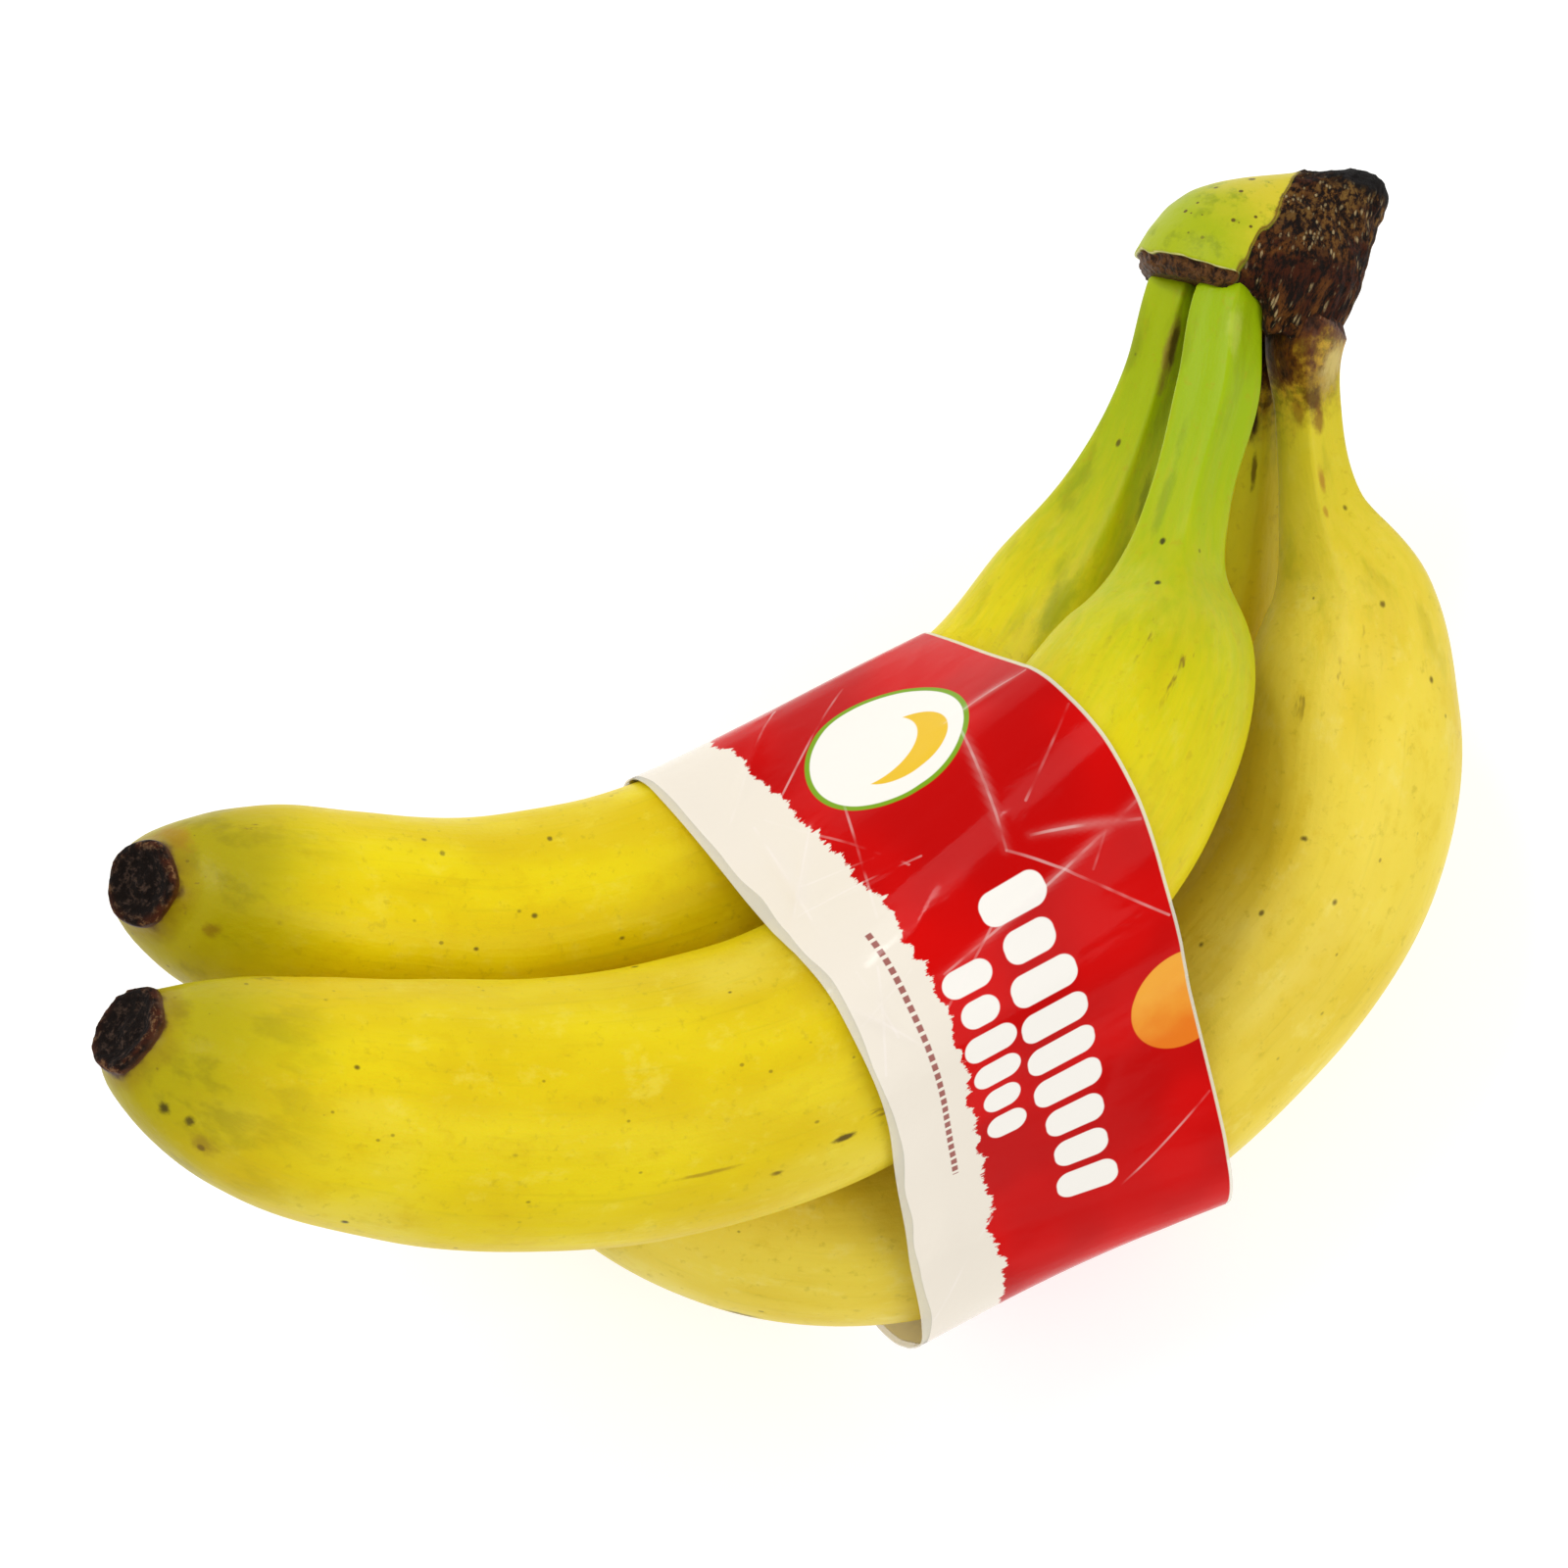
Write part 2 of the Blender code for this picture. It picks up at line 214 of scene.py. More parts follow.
def routeCurve(route):
    # a smooth curve through the route's points: centres, half thicknesses and lengths along it
    rows = np.array(route, float)
    start = rows[0, :3]
    rows[0, :3] = start - crownUp * (np.dot(start - crown["foot"], crownUp) + 0.35)
    spans = np.linalg.norm(np.diff(rows[:, :3], axis=0), axis=1)
    slopes = np.zeros_like(rows)
    slopes[0] = (rows[1] - rows[0]) / spans[0]
    slopes[0, :3] = -crownUp
    slopes[-1] = (rows[-1] - rows[-2]) / spans[-1]
    for i in range(1, len(rows) - 1):
        before = (rows[i] - rows[i - 1]) / spans[i - 1]
        after = (rows[i + 1] - rows[i]) / spans[i]
        slopes[i] = (before * spans[i] + after * spans[i - 1]) / (spans[i] + spans[i - 1])
    parts = []
    for i, span in enumerate(spans):
        t = np.linspace(0.0, 1.0, 40, endpoint=False)[:, None]
        parts.append(
            (2 * t**3 - 3 * t**2 + 1) * rows[i] + (t**3 - 2 * t**2 + t) * span * slopes[i]
            + (-2 * t**3 + 3 * t**2) * rows[i + 1] + (t**3 - t**2) * span * slopes[i + 1]
        )
    dense = np.vstack(parts + [rows[-1:]])
    walked = np.r_[0.0, np.cumsum(np.linalg.norm(np.diff(dense[:, :3], axis=0), axis=1))]
    count = round(walked[-1] / hand["ringSpacing"])
    along = np.linspace(0.0, walked[-1], count)
    even = np.stack([np.interp(along, walked, dense[:, k]) for k in range(4)], axis=1)
    return even[:, :3], even[:, 3], along


def fruitRings(spec):
    # rings of points down the fruit, with the straightened place of each point
    centres, radii, along = routeCurve(spec["route"])
    total = along[-1]
    steps = hand["roundSteps"]
    angles = np.linspace(0.0, 2.0 * math.pi, steps, endpoint=False)
    tangents = np.gradient(centres, axis=0)
    tangents[0] = -crownUp
    side = outOfHand.copy()
    sector = angles / (2.0 * math.pi) * 5.0
    strength = np.interp(sector, np.arange(6), spec["ridges"] + spec["ridges"][:1])
    belly = fruitShape["ridgeBelly"]
    tipStart, tipEnd = fruitShape["tipGrows"]
    rings = []
    straight = []
    for centre, radius, length, tangent in zip(centres, radii, along, tangents):
        tangent = unit(tangent)
        side = unit(side - tangent * np.dot(side, tangent))
        other = np.cross(tangent, side)
        stalk = 1.0 - smooth(*fruitShape["stalkFades"], length)
        tip = smooth(total - tipStart, total - tipEnd, length)
        share = belly + stalk * (fruitShape["ridgeStalk"] - belly) + tip * (fruitShape["ridgeTip"] - belly)
        sway = 0.12 * math.sin(length / 38.0 + spec["seed"])
        wave = np.cos(5.0 * (angles + sway))
        peaked = 1.0 - 2.0 * np.abs(np.sin(2.5 * (angles + sway))) ** 0.85
        crisp = fruitShape["crispStalk"] * stalk + fruitShape["crispTip"] * tip * (1.0 - stalk)
        ridge = (wave + (peaked - wave) * crisp) * strength
        widen = spec["flare"] * math.exp(-((length / fruitShape["flareReach"]) ** 2))
        flare = 1.0 + widen * np.clip(np.cos(angles), 0.0, 1.0) ** 1.5
        reach = radius * flare * (1.0 + share * ridge)
        c, s = np.cos(angles), np.sin(angles)
        rings.append(centre + np.outer(reach * c, side) + np.outer(reach * s, other))
        straight.append(np.stack([radius * c, radius * s, np.full(steps, length)], 1))
    rings = np.array(rings)
    straight = np.array(straight)
    # slow unevenness, out from each ring's middle
    outward = rings - rings.mean(axis=1, keepdims=True)
    outward /= np.linalg.norm(outward, axis=2, keepdims=True)
    uneven = bumpNoise(straight * np.array([1.0, 1.0, 0.45]), 9.0, spec["seed"])
    uneven += 0.35 * bumpNoise(straight * np.array([1.0, 1.0, 0.25]), 3.2, spec["seed"] + 5.0)
    fade = smooth(0.0, 20.0, straight[..., 2])
    rings = rings + outward * (fruitShape["dent"] * uneven * fade)[..., None]
    return rings, straight, total


def closeEnds(rings, straight, total, seed):
    # the stalk runs on into the crown, and the blossom end gets its rough black nib
    middle = rings[0].mean(axis=0)
    top = middle + (rings[0] - middle) * 0.7 + crownUp * fruitShape["intoCrown"]
    topMap = straight[0] - np.array([0.0, 0.0, fruitShape["intoCrown"]])
    rim = rings[-1]
    middle = rim.mean(axis=0)
    out = unit(middle - rings[-3].mean(axis=0))
    extra = []
    extraMap = []
    for k, (share, push) in enumerate(fruitShape["nib"]):
        ring = middle + (rim - middle) * share + out * push
        rough = bumpNoise(ring, 1.3, seed) + 0.6 * bumpNoise(ring, 0.6, seed + 2.0)
        ring = ring + out * (fruitShape["nibRough"] * rough)[:, None] * min(1.0, k / 2.0)
        extra.append(ring)
        place = straight[-1].copy()
        place[:, :2] *= share
        place[:, 2] = total + fruitShape["nibStep"] * (k + 1)
        extraMap.append(place)
    rings = np.concatenate([top[None], rings, np.array(extra)])
    straight = np.concatenate([topMap[None], straight, np.array(extraMap)])
    return rings, straight


# from the hand's plane (mm) to the frame (m): the fruits' boxes give the shift
roughFruits = {name: fruitRings(spec) for name, spec in fruits.items()}
shifts = []
for name, (rings, straight, total) in roughFruits.items():
    low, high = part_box(name)
    mine = rings.reshape(-1, 3) @ leanTurn.T * 0.001
    shifts.append((np.array(low) + np.array(high)) / 2.0 - (mine.min(axis=0) + mine.max(axis=0)) / 2.0)
handShift = np.mean(shifts, axis=0)
print("hand placed, fruits agree within mm", np.round(np.ptp(shifts, axis=0) * 1000, 2))


def toFrame(points):
    return np.asarray(points) @ leanTurn.T * 0.001 + handShift


def gridMesh(name, rings, loop=False, floats=None, vectors=None):
    # rings: rows x steps x 3 in metres. Closed with fans at both ends, or joined end to end as a loop.
    rows, steps, _ = rings.shape
    verts = rings.reshape(-1, 3)
    i = np.arange(rows if loop else rows - 1)[:, None]
    j = np.arange(steps)[None, :]
    nextRow = (i + 1) % rows
    nextStep = (j + 1) % steps
    here, ahead = i * steps, nextRow * steps
    faces = np.stack([here + j, here + nextStep, ahead + nextStep, ahead + j], -1).reshape(-1, 4).tolist()
    ends = []
    if not loop:
        first, last = len(verts), len(verts) + 1
        verts = np.vstack([verts, rings[0].mean(axis=0), rings[-1].mean(axis=0)])
        base = (rows - 1) * steps
        for k in range(steps):
            m = (k + 1) % steps
            faces.append([m, k, first])
            faces.append([base + k, base + m, last])
        ends = [0, rows - 1]
    mesh = bpy.data.meshes.new(name)
    mesh.from_pydata(verts.tolist(), [], faces)
    mesh.polygons.foreach_set("use_smooth", [True] * len(mesh.polygons))
    for label, values in (floats or {}).items():
        flat = np.concatenate([values.reshape(-1)] + [[values[e].mean()] for e in ends])
        mesh.attributes.new(label, "FLOAT", "POINT").data.foreach_set("value", flat)
    for label, values in (vectors or {}).items():
        flat = np.vstack([values.reshape(-1, 3)] + [values[e].mean(axis=0)[None] for e in ends])
        mesh.attributes.new(label, "FLOAT_VECTOR", "POINT").data.foreach_set("vector", flat.reshape(-1))
    mesh.validate()
    mesh.update()
    # the faces point out where the volume inside them is positive
    corners = [face[:3] for face in faces] + [[face[0], *face[2:]] for face in faces if len(face) == 4]
    a, b, c = verts[np.array(corners).T]
    volume = np.einsum("ij,ij->i", a, np.cross(b, c)).sum() / 6.0
    if volume < 0.0:
        mesh.flip_normals()
    item = bpy.data.objects.new(name, mesh)
    bpy.context.scene.collection.objects.link(item)
    return item


def hexColour(code):
    # an sRGB hex colour as linear RGBA
    values = [int(code[k:k + 2], 16) / 255.0 for k in (1, 3, 5)]
    linear = [v / 12.92 if v <= 0.04045 else ((v + 0.055) / 1.055) ** 2.4 for v in values]
    return (*linear, 1.0)


def feedNode(node, inputs):
    # each input gets a value, a hex colour, or a link from the socket given
    for key, value in inputs.items():
        if isinstance(value, bpy.types.NodeSocket):
            node.id_data.links.new(value, node.inputs[key])
        else:
            node.inputs[key].default_value = hexColour(value) if isinstance(value, str) else value


def addNode(tree, kind, inputs, output=0, **settings):
    # adds a node with its settings and links, and gives back one of its output sockets
    node = tree.nodes.new("ShaderNode" + kind)
    for key, value in settings.items():
        setattr(node, key, value)
    feedNode(node, inputs if isinstance(inputs, dict) else dict(enumerate(inputs)))
    return node.outputs[output]


def newMaterial(name):
    material = bpy.data.materials.new(name)
    material.use_nodes = True
    return material, partial(addNode, material.node_tree)


def finishMaterial(material, inputs):
    feedNode(material.node_tree.nodes["Principled BSDF"], inputs)
    return material


def maskOf(add, *masks):
    # a mask is a socket, a strength, or a field with the two values that it turns between and, where
    # they aren't 0 and 1, its strength at each. Several masks multiply.
    share = None
    for mask in masks:
        if isinstance(mask, tuple):
            source, low, high, *ends = mask
            span = [source, low, high, *(ends or (0.0, 1.0))]
            mask = add("MapRange", span, interpolation_type="SMOOTHSTEP")
        share = mask if share is None else add("Math", [share, mask], operation="MULTIPLY")
    return share


def layOver(add, colour, ink, *masks):
    # lays an ink over a colour where its masks are
    return add("Mix", {0: maskOf(add, *masks), 6: colour, 7: ink}, 2, data_type="RGBA")


def noiseField(add, place, size, stretch=(1, 1, 1), detail=2.0, rough=0.5):
    # lumps of a size in mm, drawn out where the stretch is under 1
    drawn = add("Mapping", {"Vector": place, "Scale": stretch})
    return add("TexNoise", {"Vector": drawn, "Scale": 1000.0 / size, "Detail": detail, "Roughness": rough})


def cellField(add, place, size, stretch):
    # cells of a size in mm: how far each point is from its cell's middle, and the cell's own random colour
    drawn = add("Mapping", {"Vector": place, "Scale": stretch})
    away = add("TexVoronoi", {"Vector": drawn, "Scale": 1000.0 / size}, "Distance")
    tint = add("SeparateColor", [away.node.outputs["Color"]])
    return away, tint.node.outputs


def wander(add, measure, field, reach):
    # moves a measure to and fro with a noise field
    swing = add("Math", [field, 0.5], operation="SUBTRACT")
    return add("Math", [swing, reach, measure], operation="MULTIPLY_ADD")


# the colours of each peel; along it, in m: where its green ends and how far the crown's stain comes down
peelLooks = {
    "banana_upper": {
        "body": "#EBD608", "deep": "#DEC000", "pale": "#EEDD48", "green": "#A0B404", "greenEnd": 0.078,
        "greenAmount": 0.97, "smudge": 0.55, "tipGreen": "#A39606", "tipAmount": 0.95, "stain": 0.0,
    },
    "banana_front": {
        "body": "#E8D20C", "deep": "#DABC02", "pale": "#EDDC50", "green": "#9AB503", "greenEnd": 0.100,
        "greenAmount": 1.0, "smudge": 0.35, "tipGreen": "#A89C04", "tipAmount": 0.9, "stain": 0.0,
    },
    # the rear fruit's yellows are lighter than the others: painted light, to offset the shade it lies in
    # between the fruits
    "banana_rear": {
        "body": "#F4E42A", "deep": "#EAD21C", "pale": "#F6E850", "green": "#C4BA28", "greenEnd": 0.06,
        "greenAmount": 0.5, "smudge": 0.4, "tipGreen": "#A89A14", "tipAmount": 0.7, "stain": 0.007,
    },
    "banana_outer": {
        "body": "#EED64A", "deep": "#E0C22A", "pale": "#F3E276", "green": "#CDBF1E", "greenEnd": 0.058,
        "greenAmount": 0.8, "smudge": 0.3, "tipGreen": "#B8AA1C", "tipAmount": 0.7, "stain": 0.0028,
    },
}
peelCommon = {
    "speck": "#4A3210", "scar": "#7C5E1C", "smudge": "#7F8C08", "tipSmudge": "#86790A",
    "fibre": "#A79A12", "pore": "#B39C10",
    "blossom": "#120905", "blossomRim": "#4A2210", "blossomAsh": "#4C3A30", "blossomTan": "#8A6440",
    "blossomHalo": "#8A6A10",
    "stainDark": "#24120A", "stainMid": "#5A2C10", "stainEdge": "#B98A26", "stainPale": "#9A8468",
    "roughness": 0.40,
    "relief": 0.0007,       # m, of fibres and mottling
    "charRelief": 0.0009,
    # brown specks: mm between them, their share of that, strength
    "specks": [(6.2, 0.08, 0.8), (3.4, 0.085, 0.5)],
    # noise over the straightened peel: lumps in mm, stretch, detail, roughness
    "broad": (16.0, (1, 1, 0.35), 3.0),
    "patch": (21.0, (1, 1, 0.5)),
    "cloud": (4.6, (1, 1, 0.7), 6.0, 0.68),
    "pores": (1.6, (1, 1, 1), 4.0, 0.6),
    "streak": (1.1, (1, 1, 0.05), 3.0),
    "bruise": (6.2, (1, 1, 0.28), 4.0, 0.6),
    "tipBruise": (5.8, (1, 1, 0.4), 4.0, 0.6),
    "scars": (4.2, (1, 1, 0.22), 4.0, 0.65),
    "scarAreas": (24.0, (1, 1, 1), 1.0),
    "ragged": (4.2, (1, 1, 0.6), 6.0, 0.72),
    "bark": (0.8, (1, 1, 0.5), 4.0, 0.7),
    "grain": (2.2, (1, 1, 0.5), 5.0, 0.7),
    "fray": (3.2, (1, 1, 1), 4.0),
    "ashes": (1.3, (1, 1, 1), 5.0, 0.7),
    "lumps": (3.4, (1, 1, 1), 3.0, 0.6),
}


def stainedStalk(add, colour, place, along, pores, reach):
    # the crown's dried stain creeping down the stalk, least on the side away from the bunch
    common = peelCommon
    sideways = add("SeparateXYZ", [place], 1)
    down = wander(add, along, noiseField(add, place, *common["ragged"]), 0.022)
    down = add("Math", [sideways, -0.55, down], operation="MULTIPLY_ADD")
    edge = layOver(add, common["stainEdge"], common["stainMid"], (pores, 0.4, 0.6))
    colour = layOver(add, colour, edge, (down, reach + 0.001, reach + 0.013, 0.85, 0.0))
    colour = layOver(add, colour, common["stainMid"], (down, reach - 0.001, reach + 0.0035, 0.95, 0.0))
    dark = maskOf(add, (down, reach - 0.003, reach + 0.0005, 1.0, 0.0))
    fibre = noiseField(add, place, *common["bark"])
    bark = layOver(add, common["stainDark"], common["stainMid"], (fibre, 0.5, 0.68))
    bark = layOver(add, bark, common["stainPale"], (fibre, 0.66, 0.74, 0.0, 0.7))
    return layOver(add, colour, bark, dark), dark


def peelMaterial(name, look, length, marks):
    # ripe banana peel: waxy and slightly translucent, matt in broad light, with a soft gloss on the ridges
    material, add = newMaterial("bananaPeel_" + name)
    common = peelCommon
    place = add("Attribute", {}, "Vector", attribute_name="straight")
    along = add("Attribute", {}, "Fac", attribute_name="stalkLength")
    toTip = add("Math", [length, along], operation="SUBTRACT")

    def field(key):
        return noiseField(add, place, *common[key])

    broad, cloud, pores, streak = field("broad"), field("cloud"), field("pores"), field("streak")
    colour = layOver(add, look["body"], look["deep"], (broad, 0.35, 0.68))
    colour = layOver(add, colour, look["pale"], (field("patch"), 0.5, 0.75, 0.0, 0.55))
    # cloudy mottling a few mm across
    colour = layOver(add, colour, look["pale"], (cloud, 0.53, 0.72, 0.0, 0.4))
    colour = layOver(add, colour, look["deep"], (cloud, 0.47, 0.32, 0.0, 0.45))
    # green left near the stalk, with darker bruises drawn out along it
    edge = wander(add, along, streak, 0.03)
    colour = layOver(add, colour, look["green"], (edge, 0.012, look["greenEnd"], look["greenAmount"], 0.0))
    bruises = (field("bruise"), 0.52, 0.70), (along, 0.02, 0.085, look["smudge"], 0.0)
    colour = layOver(add, colour, common["smudge"], *bruises)
    # green towards the blossom end
    edge = wander(add, toTip, broad, 0.02)
    colour = layOver(add, colour, look["tipGreen"], (edge, 0.002, 0.032, look["tipAmount"], 0.0))
    bruises = (field("tipBruise"), 0.5, 0.66), (toTip, 0.004, 0.034, 0.45, 0.0)
    colour = layOver(add, colour, common["tipSmudge"], *bruises)
    # faint fibres under the skin, and pores
    colour = layOver(add, colour, common["fibre"], (streak, 0.56, 0.80, 0.0, 0.16))
    colour = layOver(add, colour, common["pore"], (pores, 0.57, 0.74, 0.0, 0.34))
    # brown specks, each in its own cell, and a few longer scars
    for spacing, share, strength in common["specks"]:
        away, tint = cellField(add, place, spacing, (1, 1, 0.7))
        reach = maskOf(add, (tint[0], 0.35, 1.0), share)
        beyond = add("Math", [away, reach], operation="SUBTRACT")
        speck = (beyond, -0.03, 0.03, strength, 0.0), (tint[0], 0.45, 0.5)
        colour = layOver(add, colour, common["speck"], *speck)
    scars = (field("scars"), 0.63, 0.70), (field("scarAreas"), 0.58, 0.66, 0.0, 0.75)
    colour = layOver(add, colour, common["scar"], *scars)
    matt = []               # where the surface is dry, and its least roughness there
    if look["stain"] > 0.0:
        colour, dark = stainedStalk(add, colour, place, along, pores, look["stain"])
        matt.append((dark, 0.8))
    # the marks that this fruit has, with ragged edges
    grain = field("grain")
    for (alongMark, turn, halfLong, halfWide, ink, strength), radius in marks:
        turned = math.radians(turn)
        centre = [c * 0.001 for c in (radius * math.cos(turned), radius * math.sin(turned), alongMark)]
        away = add("VectorMath", [place, centre], operation="SUBTRACT")
        shares = [1000.0 / halfWide, 1000.0 / halfWide, 1000.0 / halfLong]
        away = add("VectorMath", [away, shares], operation="MULTIPLY")
        away = add("VectorMath", [away], "Value", operation="LENGTH")
        away = wander(add, away, grain, 2.2)
        colour = layOver(add, colour, ink, (away, 0.35, 1.35, strength, 0.0))
    # black blossom end: a red-brown ring round a charred-looking, ashy middle
    frayed = wander(add, toTip, field("fray"), 0.0032)
    colour = layOver(add, colour, common["blossomHalo"], (frayed, 0.0, 0.0036, 0.5, 0.0))
    colour = layOver(add, colour, common["blossomRim"], (frayed, -0.0006, 0.0006, 0.95, 0.0))
    black = maskOf(add, (frayed, -0.0022, -0.0006, 1.0, 0.0))
    matt.append((black, 0.9))
    ashes = field("ashes")
    char = layOver(add, common["blossom"], common["blossomAsh"], (ashes, 0.5, 0.7))
    rimChar = layOver(add, common["blossomRim"], common["blossomTan"], (ashes, 0.5, 0.62))
    char = layOver(add, char, rimChar, (toTip, -0.0042, -0.0016), (field("lumps"), 0.4, 0.58))
    colour = layOver(add, colour, char, black)
    rough = maskOf(add, (broad, 0.3, 0.7, common["roughness"] - 0.04, common["roughness"] + 0.08))
    for cover, least in matt:
        rough = add("Math", [rough, maskOf(add, cover, least)], operation="MAXIMUM")
    relief = 0.0
    for height, share in ((streak, 0.5), (pores, 0.4), (cloud, 0.8)):
        relief = add("Math", [height, share, relief], operation="MULTIPLY_ADD")
    normal = add("Bump", {"Height": relief, "Strength": 0.26, "Distance": common["relief"]})
    charred = {"Height": maskOf(add, ashes, black), "Strength": 0.9, "Distance": common["charRelief"]}
    normal = add("Bump", {**charred, "Normal": normal})
    return finishMaterial(material, {
        "Base Color": colour, "Roughness": rough, "Normal": normal, "IOR": 1.45, "Specular IOR Level": 0.18,
        "Subsurface Weight": 0.1, "Subsurface Radius": (1.0, 0.55, 0.12), "Subsurface Scale": 0.004,
    })


fruitGrids = {}
for name, (rings, straight, total) in roughFruits.items():
    closed, place = closeEnds(rings, straight, total, fruits[name]["seed"])
    fruitGrids[name] = closed
    grid = toFrame(closed)
    if name == "banana_rear":
        # the lowest fruit is pressed flat by the weight of the others
        grid[..., 2] = np.maximum(grid[..., 2], hand["filmUnder"] * 0.001)
    item = gridMesh(name + "_peel", grid, floats={"stalkLength": place[..., 2] * 0.001},
                    vectors={"straight": place * 0.001})
    spec = fruits[name]
    radii = np.linalg.norm(straight[:, 0, :2], axis=1)
    depths = [float(np.interp(mark[0], straight[:, 0, 2], radii)) for mark in spec["marks"]]
    item.data.materials.append(
        peelMaterial(name, peelLooks[name], total * 0.001, list(zip(spec["marks"], depths))))
    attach(item, "root")
    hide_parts(name)
print("fruits made")


def driedShare(place):
    # 1 on the black, fibrous side of the crown, 0 on the green pad
    edge = -4.4 + 0.24 * place[..., 1] + 0.9 * bumpNoise(place, 4.0, 50.0)
    return smooth(-0.5, 0.5, place[..., 0] - edge)


def crownGrid():
    rows = np.array(crown["rings"])
    # rows lie closer together up to the top of the lip
    heights = np.concatenate([np.linspace(0, 3.2, 14), np.linspace(3.6, rows[-1, 0], 56)])
    columns = [np.interp(heights, rows[:, 0], rows[:, k]) for k in range(1, 5)]
    # soften the corners that straight interpolation leaves, above the lip
    for column in columns:
        for _ in range(6):
            column[16:-1] = (column[15:-2] + column[16:-1] * 2 + column[17:]) / 4.0
    left, right, back, front = columns
    steps = crown["steps"]
    angles = np.linspace(0.0, 2.0 * math.pi, steps, endpoint=False)
    c, s = np.cos(angles), np.sin(angles)
    x = np.sign(c) * np.abs(c) ** (2.0 / crown["squareness"])
    z = np.sign(s) * np.abs(s) ** (2.0 / crown["squareness"])
    grid = []
    for k, height in enumerate(heights):
        t = (left[k] + right[k]) / 2.0 + (right[k] - left[k]) / 2.0 * x
        w = (back[k] + front[k]) / 2.0 + (front[k] - back[k]) / 2.0 * z
        grid.append(np.stack([t, np.full(steps, height), w], 1))
    # the cut top and the underside, drawn in towards their middles
    bottom, top = grid[0], grid[-1]
    for share, lift in ((0.8, 0.5), (0.55, 0.75), (0.3, 0.8), (0.1, 0.8)):
        grid.append(top.mean(axis=0) * (1.0 - share) + top * share + np.array([0.0, lift, 0.0]))
    inner = [bottom.mean(axis=0) * (1.0 - share) + bottom * share for share in (0.3, 0.6, 0.85)]
    grid = np.array(inner + grid)
    place = grid.copy()
    # the way out, in the crown's own axes, mostly sideways
    outward = (grid - crown["middle"]) * np.array([1.0, 0.35, 1.0])
    outward /= np.linalg.norm(outward, axis=2, keepdims=True)
    dried = driedShare(place)
    fibres = bumpNoise(place * np.array([1.0, 0.45, 1.0]), 1.1, 4.0)
    fibres += 0.8 * bumpNoise(place * np.array([1.0, 0.6, 1.0]), 2.6, 9.0)
    push = dried * crown["fibre"] * fibres
    push += (1.0 - dried) * 0.22 * bumpNoise(place, 6.0, 15.0)
    # the lip: the rim below it is set back and rough
    level = place[..., 1] + 0.8 * bumpNoise(place, 4.0, 30.0)
    rim = (1.0 - dried) * (1.0 - smooth(crown["lipHeight"] - 0.25, crown["lipHeight"] + 0.25, level))
    push -= rim * (crown["lipDepth"] + 0.7 * bumpNoise(place, 1.3, 22.0))
    # underneath, the dried side draws in to the stalks
    push -= dried * crown["tuck"] * (1.0 - smooth(-1.0, 9.0, place[..., 1]))
    grid = grid + outward * push[..., None]
    # the dried side hangs lower, over the stalks behind
    sag = smooth(0.0, 5.0, place[..., 0]) * (1.0 - smooth(0.0, 7.0, place[..., 1]))
    grid[..., 1] -= sag * (crown["sag"] + crown["sagRagged"] * bumpNoise(place, 3.0, 40.0))
    points = crown["foot"] + grid[..., 0:1] * crownAlong + grid[..., 1:2] * crownUp
    points = points + grid[..., 2:3] * outOfHand
    return points, place, dried, rim


crownLook = {
    "green": "#A6B30E", "yellow": "#D2C22E", "shade": "#8C9A10", "edge": "#E4DC9A", "spot": "#5E4A14",
    "rim": "#6A4420", "rimDark": "#2A160A", "dried": "#130904", "driedBrown": "#421B08",
    "driedTan": "#6A3F14", "driedPale": "#80602C", "fibre": "#C2A878", "char": "#100B09",
    "spots": [(1.7, 0.7), (2.7, 0.62)],     # dark pin specks: mm between them, share of cells left bare
    "threads": (0.62, (1, 0.3, 1)),         # fibre ends: mm between them, drawn out along the crown
    # noise: lumps in mm, stretch, detail, roughness
    "broad": (6.0, (1, 1, 1), 4.0, 0.6),
    "shading": (3.6, (1, 1, 1), 5.0, 0.7),
    "fibres": (0.9, (1, 0.5, 1), 5.0, 0.72),
    "coarse": (4.8, (1, 1, 1), 4.0, 0.6),
    "blotches": (9.0, (1, 1, 1), 2.0),
    "skin": (1.4, (1, 1, 1), 4.0),
}


